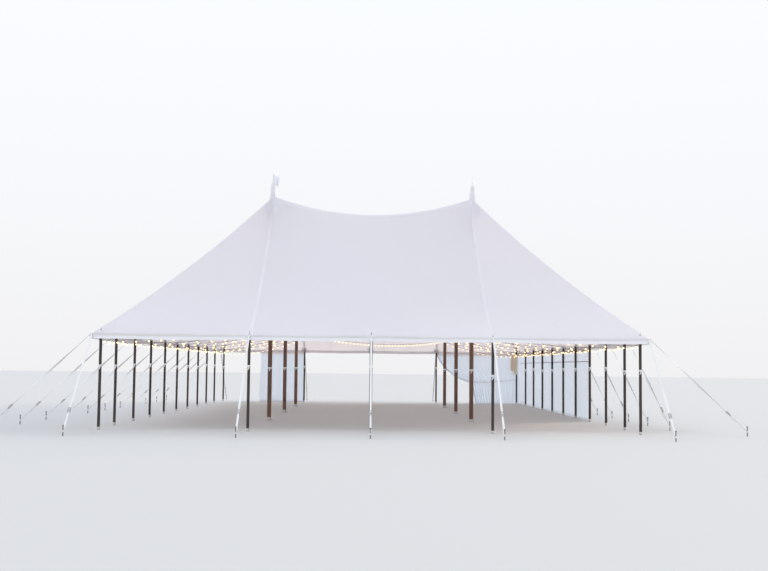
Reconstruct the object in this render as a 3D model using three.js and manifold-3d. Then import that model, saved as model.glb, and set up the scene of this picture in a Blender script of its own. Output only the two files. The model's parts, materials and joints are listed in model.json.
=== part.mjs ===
// A white sailcloth pole tent: a laced cloth roof over two rows of three centre masts, a ring of
// side poles with pins at the eaves, webbing guys down to steel stakes, three cloth walls, and
// strings of lights hung between the masts and the side poles.
// Sizes are in millimetres and +Z is up. The origin is on the ground under the middle of the roof,
// X runs across the tent and Y runs along it, with the open front at -Y.
import * as THREE from "three";
import { mergeVertices } from "three/addons/utils/BufferGeometryUtils.js";
import Module from "manifold-3d";

const wasm = await Module();
wasm.setup();

// Plan
const WIDTH = 14000;
const BAY = 2440;
const BAYS = 10;
const LENGTH = BAY * BAYS;
const MAST_X = 3050;
const MAST_Y = 6100;
const POLE_INSET = 120;
const CORNER_POLE = { x: 6770, y: 12000 };

// Heights
const EAVE = 2360;
const PEAK = 6785;
const SADDLE = 6255;
const HIP_SAG = 200;
const SEAM_SAG = 600;
const SEAM_DIP = { depth: 300, at: 0.08 };
const CLOTH = 15;
const HEM = { height: 100, thickness: 6, inset: 1 };

// Masts, poles and their fittings
const MAST_RADIUS = 65;
const MAST_ABOVE_PEAK = 115;
const FOOT_RADIUS = 130;
const FOOT_HEIGHT = 12;
const CAP = { baseRadius: 88, topRadius: 55, height: 430, spireRadius: 25, tipRadius: 10, spire: 280 };
const PENNANT = { length: 330, height: 380, thickness: 8 };
const POLE_RADIUS = 38;
const PIN_RADIUS = 8;
const PIN_HEIGHT = 100;

// Guys and walls
const WEBBING = { width: 50, thickness: 6 };
const GUY_RUN = { front: 2400, back: 2400, left: 2400, right: 1100, corner: 2400 };
const RATCHET = { length: 150, width: 70, thickness: 40, along: 0.8 };
const STAKE = { radius: 14, headRadius: 24, headHeight: 15, height: 250, loopHeight: 110 };
const WALL_THICKNESS = 12;
const WALL_LIFT = 10;
const RIGHT_WALL_FROM = -LENGTH / 2 + 3 * BAY;
const CURTAIN = { top: 3000, tie: 4700, tieHeight: 950, bottom: 4900 };
const BACK_PANEL = { top: 5050, bottom: 5130 };

// Light strings, which hang from hooks on the masts and the side poles
const CABLE = { radius: 3.5, sides: 8, bend: 30 };
const STRINGS = {
  upper: { first: 0, mast: 2780, pole: 2225, sag: 0.012 },
  lower: { first: 1, mast: 2660, pole: 2225, sag: 0.024 },
  eave: { pole: 2270, sag: 0.02 },
  middle: { front: 2820, back: 2740, sag: 0.0237 },
};
const SAG_POINTS = 3;

const GAP = 0.4;
const CELLS = 10;
const MAST_SIDES = 12;
const POLE_SIDES = 8;
const STAKE_SIDES = 6;

const tent = new THREE.Group();

const colours = {
  sailcloth: { color: 0xeeeef2, roughness: 0.75, metalness: 0 },
  wallCloth: { color: 0xdfe6ee, roughness: 0.8, metalness: 0 },
  mastWood: { color: 0x7b5744, roughness: 0.55, metalness: 0 },
  poleWood: { color: 0x3d2a22, roughness: 0.55, metalness: 0 },
  webbing: { color: 0xe6e4dc, roughness: 0.9, metalness: 0 },
  cable: { color: 0x24231f, roughness: 0.6, metalness: 0 },
};

function add(name, geometry, finish) {
  const mesh = new THREE.Mesh(geometry, new THREE.MeshStandardMaterial(finish));
  mesh.name = name;
  tent.add(mesh);
  return mesh;
}

// Solids that are joined or cut

function solidOf(geometry) {
  const bare = geometry.clone();
  bare.deleteAttribute("normal");
  bare.deleteAttribute("uv");
  const merged = mergeVertices(bare, 1e-3);
  const vertProperties = new Float32Array(merged.attributes.position.array);
  const triVerts = new Uint32Array(merged.index.array);
  return new wasm.Manifold(new wasm.Mesh({ numProp: 3, vertProperties, triVerts }));
}

function geometryOf(solid) {
  const mesh = solid.getMesh();
  const geometry = new THREE.BufferGeometry();
  geometry.setAttribute("position", new THREE.BufferAttribute(mesh.vertProperties, 3));
  geometry.setIndex(new THREE.BufferAttribute(mesh.triVerts, 1));
  return geometry;
}

function joined(geometries) {
  const solids = geometries.map(solidOf);
  return geometryOf(solids.reduce((all, next) => all.add(next)));
}

// A turned piece: its profile is a list of [radius, height] from the axis back to the axis.
function turned(profile, x, y, sides) {
  const points = profile.map(([radius, height]) => new THREE.Vector2(radius, height));
  return new THREE.LatheGeometry(points, sides).rotateX(Math.PI / 2).translate(x, y, 0);
}

// A body with the same number of corners in each ring, closed at both ends.
function loft(rings) {
  const sides = rings[0].length;
  const positions = rings.flat().flatMap((p) => [p.x, p.y, p.z]);
  const indices = [];
  for (let r = 0; r < rings.length - 1; r += 1) {
    for (let s = 0; s < sides; s += 1) {
      const a = r * sides + s;
      const b = r * sides + ((s + 1) % sides);
      indices.push(a, b, b + sides, a, b + sides, a + sides);
    }
  }
  const last = (rings.length - 1) * sides;
  for (let s = 1; s < sides - 1; s += 1) {
    indices.push(0, s + 1, s, last, last + s, last + s + 1);
  }
  const geometry = new THREE.BufferGeometry();
  geometry.setAttribute("position", new THREE.Float32BufferAttribute(positions, 3));
  geometry.setIndex(indices);
  return geometry;
}

// The roof's height, held along its eaves, ridges, hips and seams and evened out between them

const evenly = (from, to, cells) => Array.from({ length: cells }, (_, i) => from + ((to - from) * i) / cells);
const lineOf = (stops) => [
  ...stops.slice(0, -1).flatMap((from, i) => evenly(from, stops[i + 1], CELLS)),
  stops[stops.length - 1],
];
const xs = lineOf([-WIDTH / 2, -MAST_X, MAST_X, WIDTH / 2]);
const ys = lineOf([-LENGTH / 2, -MAST_Y, 0, MAST_Y, LENGTH / 2]);

// Each line runs from the peak, where t is 0, to the eave, where t is 1.
const sagging = (t, sag) => PEAK + (EAVE - PEAK) * t - sag * 4 * t * (1 - t);
const hipHeight = (t) => sagging(t, HIP_SAG);
// A seam also dips beside the mast, like a bell.
function seamHeight(t) {
  const part = t / SEAM_DIP.at;
  return sagging(t, SEAM_SAG) - SEAM_DIP.depth * part * Math.exp(1 - part);
}
const ridgeHeight = (part) => SADDLE + (PEAK - SADDLE) * part ** 2;

function heldHeight(px, py) {
  const [x, y] = [Math.abs(px), Math.abs(py)];
  const outX = (x - MAST_X) / (WIDTH / 2 - MAST_X);
  const outY = (y - MAST_Y) / (LENGTH / 2 - MAST_Y);
  const near = (a, b) => Math.abs(a - b) < 1e-6;
  if (near(outX, 1) || near(outY, 1)) return EAVE;
  if (near(outX, outY) && outX >= 0) return hipHeight(outX);
  if (near(outX, 0) && outY < 0) return ridgeHeight((2 * y) / MAST_Y - 1);
  if (near(outY, 0) && outX < 0) return ridgeHeight(x / MAST_X);
  if (near(outX, 0)) return seamHeight(outY);
  if (near(outY, 0) || near(y, 0)) return outX >= 0 ? seamHeight(outX) : null;
  return null;
}

function roofHeights() {
  const held = ys.map((y) => xs.map((x) => heldHeight(x, y)));
  const heights = held.map((row) => row.map((z) => z ?? (EAVE + PEAK) / 2));
  for (let round = 0; round < 1500; round += 1) {
    for (let j = 1; j < ys.length - 1; j += 1) {
      for (let i = 1; i < xs.length - 1; i += 1) {
        if (held[j][i] === null) {
          const pulls = [
            [(ys[j + 1] - ys[j - 1]) / (xs[i] - xs[i - 1]), heights[j][i - 1]],
            [(ys[j + 1] - ys[j - 1]) / (xs[i + 1] - xs[i]), heights[j][i + 1]],
            [(xs[i + 1] - xs[i - 1]) / (ys[j] - ys[j - 1]), heights[j - 1][i]],
            [(xs[i + 1] - xs[i - 1]) / (ys[j + 1] - ys[j]), heights[j + 1][i]],
          ];
          const total = pulls.reduce((sum, [pull]) => sum + pull, 0);
          heights[j][i] = pulls.reduce((sum, [pull, z]) => sum + pull * z, 0) / total;
        }
      }
    }
  }
  return heights;
}

const heights = roofHeights();

const frontPoles = [-MAST_X, 0, MAST_X];
const sidePoles = evenly(-LENGTH / 2 + BAY, LENGTH / 2, BAYS - 1);
const frontStops = [-WIDTH / 2, ...frontPoles, WIDTH / 2];
const sideStops = [-LENGTH / 2, ...sidePoles, LENGTH / 2];
const roofPoint = (i, j) => new THREE.Vector3(xs[i], ys[j], heights[j][i]);

// A cell of the grid is creased along the diagonal that runs the way of the nearest hip.
const isHipwards = (i, j) => (xs[i] + xs[i + 1]) * (ys[j] + ys[j + 1]) > 0;

// The underside of the cloth at a place, between the grid's points.
function underside(x, y) {
  const cell = (list, value) => Math.min(list.length - 2, list.filter((v) => v <= value).length - 1);
  const [i, j] = [cell(xs, x), cell(ys, y)];
  const [u, v] = [(x - xs[i]) / (xs[i + 1] - xs[i]), (y - ys[j]) / (ys[j + 1] - ys[j])];
  const [a, b, c, d] = [heights[j][i], heights[j][i + 1], heights[j + 1][i + 1], heights[j + 1][i]];
  if (isHipwards(i, j)) return u >= v ? a + (b - a) * u + (c - b) * v : a + (c - d) * u + (d - a) * v;
  return u + v <= 1 ? a + (b - a) * u + (d - a) * v : c + (d - c) * (1 - u) + (b - c) * (1 - v);
}

// Where the poles stand
const endX = frontPoles.map((x) => [x, LENGTH / 2 - POLE_INSET]);
const polePlaces = {
  front: endX.map(([x, y]) => [x, -y]),
  back: endX,
  left: sidePoles.map((y) => [-WIDTH / 2 + POLE_INSET, y]),
  right: sidePoles.map((y) => [WIDTH / 2 - POLE_INSET, y]),
  corner: [-1, 1].flatMap((sy) => [-1, 1].map((sx) => [sx * CORNER_POLE.x, sy * CORNER_POLE.y])),
};
const mastPlaces = [-MAST_Y, 0, MAST_Y].flatMap((y) => [-MAST_X, MAST_X].map((x) => [x, y]));

// The roof is four sections of cloth, laced together over the mast rows.
function roofSection(firstRow, lastRow) {
  const across = xs.length;
  const rows = lastRow - firstRow + 1;
  const layer = across * rows;
  const positions = [];
  for (const lift of [0, CLOTH]) {
    for (let j = firstRow; j <= lastRow; j += 1) {
      const clear = j === firstRow ? GAP / 2 : j === lastRow ? -GAP / 2 : 0;
      for (let i = 0; i < across; i += 1) {
        const point = roofPoint(i, j);
        positions.push(point.x, point.y + clear, point.z + lift);
      }
    }
  }
  const indices = [];
  const wall = (a, b) => indices.push(a, b, b + layer, a, b + layer, a + layer);
  for (let j = 0; j < rows - 1; j += 1) {
    for (let i = 0; i < across - 1; i += 1) {
      const a = j * across + i;
      const [b, c, d] = [a + 1, a + across + 1, a + across];
      const halves = isHipwards(i, firstRow + j) ? [a, b, c, a, c, d] : [a, b, d, b, c, d];
      indices.push(...halves.map((k) => k + layer), ...halves.reverse());
    }
    wall(j * across + across - 1, (j + 1) * across + across - 1);
    wall((j + 1) * across, j * across);
  }
  for (let i = 0; i < across - 1; i += 1) {
    wall(i, i + 1);
    wall((rows - 1) * across + i + 1, (rows - 1) * across + i);
  }
  const geometry = new THREE.BufferGeometry();
  geometry.setAttribute("position", new THREE.Float32BufferAttribute(positions, 3));
  geometry.setIndex(indices);
  const holes = [
    ...mastPlaces.map(([x, y]) => hole(x, y, MAST_RADIUS + GAP, MAST_SIDES)),
    ...Object.values(polePlaces).flat().map(([x, y]) => hole(x, y, PIN_RADIUS + GAP, POLE_SIDES)),
  ];
  const strips = hemOf(ys[firstRow], ys[lastRow]);
  const hemmed = strips.reduce((cloth, strip) => cloth.add(solidOf(strip)), solidOf(geometry));
  return geometryOf(holes.reduce((cloth, cutter) => cloth.subtract(solidOf(cutter)), hemmed));
}

// The hem hangs from the outer edges of a section, a little inside them.
function hemOf(from, to) {
  const [side, end] = [WIDTH / 2 - HEM.inset, LENGTH / 2 - HEM.inset];
  const [start, stop] = [from + HEM.inset, to - HEM.inset];
  const strip = (x0, x1, y0, y1) => new THREE.BoxGeometry(x1 - x0, y1 - y0, HEM.height)
    .translate((x0 + x1) / 2, (y0 + y1) / 2, EAVE + CLOTH / 2 - HEM.height / 2);
  const strips = [
    strip(-side, -side + HEM.thickness, start, stop),
    strip(side - HEM.thickness, side, start, stop),
  ];
  if (start === -end) strips.push(strip(-side, side, -end, -end + HEM.thickness));
  if (stop === end) strips.push(strip(-side, side, end - HEM.thickness, end));
  return strips;
}

function hole(x, y, radius, sides) {
  const [low, high] = [EAVE / 2, 2 * PEAK];
  return turned([[0, low], [radius, low], [radius, high], [0, high]], x, y, sides);
}

["front", "mid_front", "mid_back", "back"].forEach((name, k) => {
  add(`roof_${name}`, roofSection(k * CELLS, (k + 1) * CELLS), colours.sailcloth);
});

// Centre masts, each with a foot plate, and a sleeve, spire and pennant above the cloth
const mastTop = PEAK + MAST_ABOVE_PEAK;
const ridgeFall = (PEAK - ridgeHeight(1 - 2 / CELLS)) / (MAST_Y / CELLS);
const capBase = PEAK + CLOTH - MAST_RADIUS * ridgeFall * Math.cos(Math.PI / MAST_SIDES) + GAP;
const capTop = capBase + CAP.height;
const tip = capTop + CAP.spire;

mastPlaces.forEach(([x, y], k) => {
  const row = ["front", "mid", "back"][Math.floor(k / 2)];
  const side = ["left", "right"][k % 2];
  const mast = [
    [0, 0], [FOOT_RADIUS, 0], [FOOT_RADIUS, FOOT_HEIGHT], [MAST_RADIUS, FOOT_HEIGHT],
    [MAST_RADIUS, mastTop], [0, mastTop],
  ];
  add(`mast_${row}_${side}`, turned(mast, x, y, MAST_SIDES), colours.mastWood);
  const cap = [
    [0, mastTop + GAP], [MAST_RADIUS + GAP, mastTop + GAP], [MAST_RADIUS + GAP, capBase],
    [CAP.baseRadius, capBase], [CAP.topRadius, capTop], [CAP.spireRadius, capTop],
    [CAP.tipRadius, tip], [0, tip],
  ];
  const flag = new THREE.Shape();
  flag.moveTo(0, 0);
  flag.lineTo(PENNANT.length, PENNANT.height / 2);
  flag.lineTo(0, PENNANT.height);
  const pennant = new THREE.ExtrudeGeometry(flag, { depth: PENNANT.thickness, bevelEnabled: false });
  pennant.translate(0, 0, -PENNANT.thickness / 2).rotateX(Math.PI / 2);
  if (side === "right") pennant.rotateZ(-Math.PI / 2);
  pennant.translate(x, y, tip - PENNANT.height - CAP.tipRadius);
  add(`mast_cap_${row}_${side}`, joined([turned(cap, x, y, MAST_SIDES), pennant]), colours.sailcloth);
});

// Side poles, each with a pin up through the edge of the cloth
function poleTop(x, y) {
  const rim = evenly(0, 2 * Math.PI, 4 * POLE_SIDES).map((a) => [
    x + POLE_RADIUS * Math.cos(a),
    y + POLE_RADIUS * Math.sin(a),
  ]);
  return Math.min(...rim.map((place) => underside(...place))) - GAP;
}

for (const [side, places] of Object.entries(polePlaces)) {
  places.forEach(([x, y], k) => {
    const top = poleTop(x, y);
    const profile = [
      [0, 0], [POLE_RADIUS, 0], [POLE_RADIUS, top], [PIN_RADIUS, top],
      [PIN_RADIUS, top + PIN_HEIGHT], [0, top + PIN_HEIGHT],
    ];
    add(`pole_${side}_${k + 1}`, turned(profile, x, y, POLE_SIDES), colours.poleWood);
  });
}

// Guys: a webbing band along each eave carries a strap, a ratchet and a stake at every pole

// A flat bar from one point to another, with its width level.
function bar(from, to, width, thickness) {
  const along = to.clone().sub(from).normalize();
  const sideways = new THREE.Vector3(0, 0, 1).cross(along).normalize().multiplyScalar(width / 2);
  const up = along.clone().cross(sideways).normalize().multiplyScalar(thickness / 2);
  const ring = (at) => [
    at.clone().sub(sideways).sub(up),
    at.clone().add(sideways).sub(up),
    at.clone().add(sideways).add(up),
    at.clone().sub(sideways).add(up),
  ];
  return loft([ring(from), ring(to)]);
}

function guy(from, out, run) {
  const foot = new THREE.Vector3(from.x + out.x * run, from.y + out.y * run, 0);
  const start = from.clone().addScaledVector(out, GAP + WEBBING.thickness / 2 + 2);
  const end = foot.clone().setZ(STAKE.loopHeight);
  const middle = start.clone().lerp(end, RATCHET.along);
  const half = end.clone().sub(start).normalize().multiplyScalar(RATCHET.length / 2);
  const head = STAKE.height - STAKE.headHeight;
  const stake = [
    [0, 0], [STAKE.radius, 0], [STAKE.radius, head], [STAKE.headRadius, head],
    [STAKE.headRadius, STAKE.height], [0, STAKE.height],
  ];
  return [
    bar(start, end, WEBBING.width, WEBBING.thickness),
    bar(middle.clone().sub(half), middle.clone().add(half), RATCHET.width, RATCHET.thickness),
    turned(stake, foot.x, foot.y, STAKE_SIDES),
  ];
}

function eaveBand(points, out) {
  const ring = (point) => {
    const inner = point.clone().addScaledVector(out, GAP);
    const outer = inner.clone().addScaledVector(out, WEBBING.thickness);
    const low = new THREE.Vector3(0, 0, CLOTH / 2 - WEBBING.width / 2);
    const high = new THREE.Vector3(0, 0, CLOTH / 2 + WEBBING.width / 2);
    return [inner.clone().add(low), outer.clone().add(low), outer.clone().add(high), inner.clone().add(high)];
  };
  return loft(points.map(ring));
}

const rowOf = (j) => xs.map((_, i) => roofPoint(i, j));
const columnOf = (i) => ys.map((_, j) => roofPoint(i, j));
const eaves = {
  front: { points: rowOf(0).reverse(), out: new THREE.Vector3(0, -1, 0) },
  back: { points: rowOf(ys.length - 1), out: new THREE.Vector3(0, 1, 0) },
  left: { points: columnOf(0), out: new THREE.Vector3(-1, 0, 0) },
  right: { points: columnOf(xs.length - 1).reverse(), out: new THREE.Vector3(1, 0, 0) },
};

for (const [side, { points, out }] of Object.entries(eaves)) {
  const level = side === "front" || side === "back" ? "x" : "y";
  const stops = level === "x" ? frontStops : sideStops;
  const guys = stops.flatMap((stop, k) => {
    const isCorner = k === 0 || k === stops.length - 1;
    const start = points[0].clone();
    start[level] = stop - (isCorner ? Math.sign(stop) * WEBBING.width : 0);
    start.z = underside(start.x, start.y) + CLOTH / 2;
    return guy(start, out, isCorner ? GUY_RUN.corner : GUY_RUN[side]);
  });
  const pieces = [eaveBand(points, out), ...guys];
  add(`guys_${side}`, joined(pieces), colours.webbing);
}

// Walls: a curtain tied aside and a narrow panel at the back, and one long wall down the right

function hung(outline) {
  const shape = new THREE.Shape(outline.map(([along, up]) => new THREE.Vector2(along, up)));
  const cloth = new THREE.ExtrudeGeometry(shape, { depth: WALL_THICKNESS, bevelEnabled: false });
  return cloth.rotateX(Math.PI / 2);
}

const backWallY = LENGTH / 2 - POLE_INSET + POLE_RADIUS + GAP;
const rightWallX = WIDTH / 2 - POLE_INSET + POLE_RADIUS + GAP;

// The curtain's free edge swings in from the top to the tie and then falls to the ground.
const swing = new THREE.QuadraticBezierCurve(
  new THREE.Vector2(CURTAIN.tie, CURTAIN.tieHeight),
  new THREE.Vector2(CURTAIN.top + 350, CURTAIN.tieHeight + 350),
  new THREE.Vector2(CURTAIN.top, EAVE - GAP),
);
const curtain = [
  [CURTAIN.bottom, WALL_LIFT],
  ...swing.getPoints(6).map((p) => [p.x, p.y]),
  [rightWallX + WALL_THICKNESS, EAVE - GAP],
  [rightWallX + WALL_THICKNESS, WALL_LIFT],
];
const behind = backWallY + WALL_THICKNESS;
add("wall_back_right", hung(curtain).translate(0, behind, 0), colours.wallCloth);
const panel = [
  [-BACK_PANEL.bottom, WALL_LIFT],
  [-MAST_X + POLE_RADIUS, WALL_LIFT],
  [-MAST_X + POLE_RADIUS, EAVE - GAP],
  [-BACK_PANEL.top, EAVE - GAP],
];
add("wall_back_left", hung(panel).translate(0, behind, 0), colours.wallCloth);

const rightWall = [
  [RIGHT_WALL_FROM, WALL_LIFT],
  [backWallY - GAP, WALL_LIFT],
  [backWallY - GAP, EAVE - GAP],
  [RIGHT_WALL_FROM, EAVE - GAP],
];
add("wall_right", hung(rightWall).rotateZ(Math.PI / 2).translate(rightWallX, 0, 0), colours.wallCloth);

// Light strings: on each side two swing to and fro between the masts and the side poles, and one
// runs from pole to pole under the eave. They pass the inner faces of the side poles and the outer
// faces of the masts, in a small round bend. One more crosses the middle of the tent, from the left-hand
// front mast to the right-hand back mast.

function swingHooks(sign, poles, { first, mast, pole }) {
  const atPoles = [0, 3, 6, 9].map((k) => poleHook(poles[first + k], sign, pole));
  const atMasts = [-MAST_Y, 0, MAST_Y].map((y) => ({
    at: new THREE.Vector3(sign * (MAST_X + MAST_RADIUS + CABLE.radius + GAP), y, mast),
    away: sign,
  }));
  return atPoles.flatMap((hook, k) => [hook, ...atMasts.slice(k, k + 1)]);
}

function poleHook([x, y], sign, height) {
  return { at: new THREE.Vector3(x - sign * (POLE_RADIUS + CABLE.radius + GAP), y, height), away: -sign };
}

// The bend at a hook, entered along the line from the hook before and left along the next one
function bendAt(k, hooks) {
  const { at, away } = hooks[k];
  if (k === 0 || k === hooks.length - 1) return [at];
  const turn = (from, to) => Math.atan2((to.at.x - from.at.x) * away, to.at.y - from.at.y);
  const [entry, exit] = [turn(hooks[k - 1], hooks[k]), turn(hooks[k], hooks[k + 1])];
  const angles = exit - entry > 0.5 ? [entry, entry / 2, 0, exit / 2, exit] : [0];
  return angles.map((a) => at.clone().add(new THREE.Vector3(
    away * CABLE.bend * (1 - Math.cos(a)),
    CABLE.bend * Math.sin(a),
    0,
  )));
}

function stringPath(hooks, sag) {
  const bends = hooks.map((_, k) => bendAt(k, hooks));
  return bends.flatMap((bend, k) => {
    if (k === 0) return bend;
    const [from, to] = [bends[k - 1][bends[k - 1].length - 1], bend[0]];
    const hanging = evenly(0, 1, SAG_POINTS + 1).slice(1).map((t) => {
      const point = from.clone().lerp(to, t);
      point.z -= sag * from.distanceTo(to) * 4 * t * (1 - t);
      return point;
    });
    return [...hanging, ...bend];
  });
}

function tube(path) {
  const angles = evenly(0, 2 * Math.PI, CABLE.sides);
  return loft(path.map((point, k) => {
    const before = path[Math.max(k - 1, 0)];
    const after = path[Math.min(k + 1, path.length - 1)];
    const along = after.clone().sub(before).normalize();
    const sideways = new THREE.Vector3(0, 0, 1).cross(along).normalize();
    const over = along.clone().cross(sideways);
    return angles.map((a) => point.clone()
      .addScaledVector(sideways, CABLE.radius * Math.cos(a))
      .addScaledVector(over, CABLE.radius * Math.sin(a)));
  }));
}

for (const [side, sign, corners] of [["left", -1, [0, 2]], ["right", 1, [1, 3]]]) {
  const [front, back] = corners.map((k) => polePlaces.corner[k]);
  const poles = [front, ...polePlaces[side], back];
  const { upper, lower, eave } = STRINGS;
  const eaveHooks = poles.map((place) => poleHook(place, sign, eave.pole));
  add(`lights_${side}_upper`, tube(stringPath(swingHooks(sign, poles, upper), upper.sag)), colours.cable);
  add(`lights_${side}_lower`, tube(stringPath(swingHooks(sign, poles, lower), lower.sag)), colours.cable);
  add(`lights_${side}_eave`, tube(stringPath(eaveHooks, eave.sag)), colours.cable);
}

const towardsMiddle = new THREE.Vector3(MAST_X, MAST_Y, 0).normalize().multiplyScalar(MAST_RADIUS + GAP);
const acrossMiddle = [
  { at: new THREE.Vector3(-MAST_X, -MAST_Y, STRINGS.middle.front).add(towardsMiddle) },
  { at: new THREE.Vector3(MAST_X, MAST_Y, STRINGS.middle.back).sub(towardsMiddle) },
];
add("lights_middle", tube(stringPath(acrossMiddle, STRINGS.middle.sag)), colours.cable);

export default tent;
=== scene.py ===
# %% [markdown]
# A sailcloth pole tent is a simple machine: tall masts push the cloth up, short poles round the
# edge prop up its eaves, and straps down to stakes pull all of it tight. This lesson dresses that
# tent piece by piece. The first cell loads the construction, which stays as it is: every piece made
# below stands in the same frame, in metres, with +Z up and the open front at -Y.

# %% The frame
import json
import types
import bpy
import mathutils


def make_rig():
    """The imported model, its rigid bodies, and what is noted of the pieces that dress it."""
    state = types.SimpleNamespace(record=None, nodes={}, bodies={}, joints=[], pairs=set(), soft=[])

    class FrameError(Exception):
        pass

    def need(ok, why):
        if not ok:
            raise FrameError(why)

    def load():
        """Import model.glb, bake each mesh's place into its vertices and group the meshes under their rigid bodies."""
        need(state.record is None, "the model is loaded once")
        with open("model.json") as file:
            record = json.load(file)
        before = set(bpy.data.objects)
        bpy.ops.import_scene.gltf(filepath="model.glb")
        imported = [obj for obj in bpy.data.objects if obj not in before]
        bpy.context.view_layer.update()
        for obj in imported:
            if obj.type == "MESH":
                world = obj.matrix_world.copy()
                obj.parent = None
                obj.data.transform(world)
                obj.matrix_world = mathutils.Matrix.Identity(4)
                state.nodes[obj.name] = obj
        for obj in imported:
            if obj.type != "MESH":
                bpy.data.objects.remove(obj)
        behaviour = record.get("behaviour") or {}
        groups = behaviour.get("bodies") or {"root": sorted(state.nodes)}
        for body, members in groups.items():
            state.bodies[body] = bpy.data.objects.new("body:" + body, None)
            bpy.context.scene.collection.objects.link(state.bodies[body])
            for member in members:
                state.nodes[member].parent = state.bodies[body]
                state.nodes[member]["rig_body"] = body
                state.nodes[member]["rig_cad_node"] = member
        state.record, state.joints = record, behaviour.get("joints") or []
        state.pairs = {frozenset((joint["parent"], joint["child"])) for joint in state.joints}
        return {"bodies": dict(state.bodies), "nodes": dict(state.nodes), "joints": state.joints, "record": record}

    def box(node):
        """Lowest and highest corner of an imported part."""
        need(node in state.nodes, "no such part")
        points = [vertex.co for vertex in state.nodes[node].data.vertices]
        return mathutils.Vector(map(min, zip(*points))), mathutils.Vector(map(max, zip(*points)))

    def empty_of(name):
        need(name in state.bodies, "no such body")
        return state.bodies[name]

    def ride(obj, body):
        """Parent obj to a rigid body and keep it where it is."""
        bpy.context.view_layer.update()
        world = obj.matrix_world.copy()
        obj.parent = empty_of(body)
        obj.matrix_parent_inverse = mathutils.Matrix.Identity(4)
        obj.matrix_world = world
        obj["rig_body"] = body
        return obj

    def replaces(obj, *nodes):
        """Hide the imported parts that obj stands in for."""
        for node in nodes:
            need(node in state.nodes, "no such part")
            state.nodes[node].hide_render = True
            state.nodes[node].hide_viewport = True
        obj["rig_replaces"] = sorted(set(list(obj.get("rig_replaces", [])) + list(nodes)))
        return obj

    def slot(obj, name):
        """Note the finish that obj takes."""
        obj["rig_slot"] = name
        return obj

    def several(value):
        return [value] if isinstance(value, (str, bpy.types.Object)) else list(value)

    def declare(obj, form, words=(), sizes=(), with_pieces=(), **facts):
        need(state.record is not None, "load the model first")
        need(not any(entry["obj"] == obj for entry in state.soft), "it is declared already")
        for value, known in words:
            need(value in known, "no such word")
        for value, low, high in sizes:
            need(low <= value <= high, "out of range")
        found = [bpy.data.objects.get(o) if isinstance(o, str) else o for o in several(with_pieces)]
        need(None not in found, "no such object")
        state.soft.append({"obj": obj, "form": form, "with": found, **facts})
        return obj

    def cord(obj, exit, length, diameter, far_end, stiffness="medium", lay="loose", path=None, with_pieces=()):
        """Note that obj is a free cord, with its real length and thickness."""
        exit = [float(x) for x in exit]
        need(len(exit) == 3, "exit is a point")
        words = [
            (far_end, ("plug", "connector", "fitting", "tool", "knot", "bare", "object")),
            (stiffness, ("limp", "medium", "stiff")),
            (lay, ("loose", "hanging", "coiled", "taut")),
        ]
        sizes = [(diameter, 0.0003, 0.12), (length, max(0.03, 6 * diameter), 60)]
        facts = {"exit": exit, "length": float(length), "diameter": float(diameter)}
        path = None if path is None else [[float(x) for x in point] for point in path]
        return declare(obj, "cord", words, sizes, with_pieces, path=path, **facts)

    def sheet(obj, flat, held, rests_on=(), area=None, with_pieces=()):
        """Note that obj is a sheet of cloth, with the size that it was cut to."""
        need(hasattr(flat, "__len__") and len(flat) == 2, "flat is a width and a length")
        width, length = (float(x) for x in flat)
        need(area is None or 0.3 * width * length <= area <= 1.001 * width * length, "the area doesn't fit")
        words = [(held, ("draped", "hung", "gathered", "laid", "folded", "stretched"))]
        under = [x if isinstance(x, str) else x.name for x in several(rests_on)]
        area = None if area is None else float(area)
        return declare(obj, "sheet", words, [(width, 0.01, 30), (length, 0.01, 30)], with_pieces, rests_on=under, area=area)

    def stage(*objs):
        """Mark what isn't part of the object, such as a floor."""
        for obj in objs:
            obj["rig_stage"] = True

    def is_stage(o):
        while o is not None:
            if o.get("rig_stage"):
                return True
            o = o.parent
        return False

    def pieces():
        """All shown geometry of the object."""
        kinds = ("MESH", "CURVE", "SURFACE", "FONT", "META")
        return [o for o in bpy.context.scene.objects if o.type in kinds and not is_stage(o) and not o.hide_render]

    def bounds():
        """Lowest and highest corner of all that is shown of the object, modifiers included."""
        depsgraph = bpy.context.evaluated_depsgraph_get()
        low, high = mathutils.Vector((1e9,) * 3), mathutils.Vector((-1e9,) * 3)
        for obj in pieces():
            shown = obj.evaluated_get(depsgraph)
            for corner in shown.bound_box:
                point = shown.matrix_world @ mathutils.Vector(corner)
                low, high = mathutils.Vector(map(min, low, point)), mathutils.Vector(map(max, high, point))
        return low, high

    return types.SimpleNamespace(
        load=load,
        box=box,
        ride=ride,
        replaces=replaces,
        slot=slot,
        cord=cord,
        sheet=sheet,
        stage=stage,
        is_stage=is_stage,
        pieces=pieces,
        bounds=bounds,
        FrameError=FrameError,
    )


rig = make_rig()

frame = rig.load()

import json
import math
import random
from itertools import accumulate

import bmesh
import bpy
import numpy as np
from mathutils import Matrix, Vector

cad_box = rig.bounds()
print("nodes", len(frame["nodes"]), "box", [round(v, 3) for v in (*cad_box[0], *cad_box[1])])

# %% [markdown]
# The tent's plan is a few numbers: how wide it is, how long a bay is, and where the masts stand.
# They are the driving dimensions of the construction, so every seam, strap and lamp below is worked
# out from them and still fits the poles.

# %% Plan and heights
WIDTH, BAY, BAYS = 14.0, 2.44, 10
LENGTH = BAY * BAYS
MAST_X, MAST_Y = 3.05, 6.1
EAVE, PEAK, SADDLE = 2.36, 6.785, 6.255
HIP_SAG, SEAM_SAG = 0.2, 0.6
SEAM_DIP, DIP_AT = 0.3, 0.08
MAST_RADIUS, POLE_RADIUS, PIN_RADIUS, PIN_HEIGHT = 0.065, 0.038, 0.008, 0.1
GAP = 0.0004


def middle(node):
    """The plan position of an upright node's axis."""
    low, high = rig.box(node)
    return Vector(((low.x + high.x) / 2, (low.y + high.y) / 2, 0))


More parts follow.
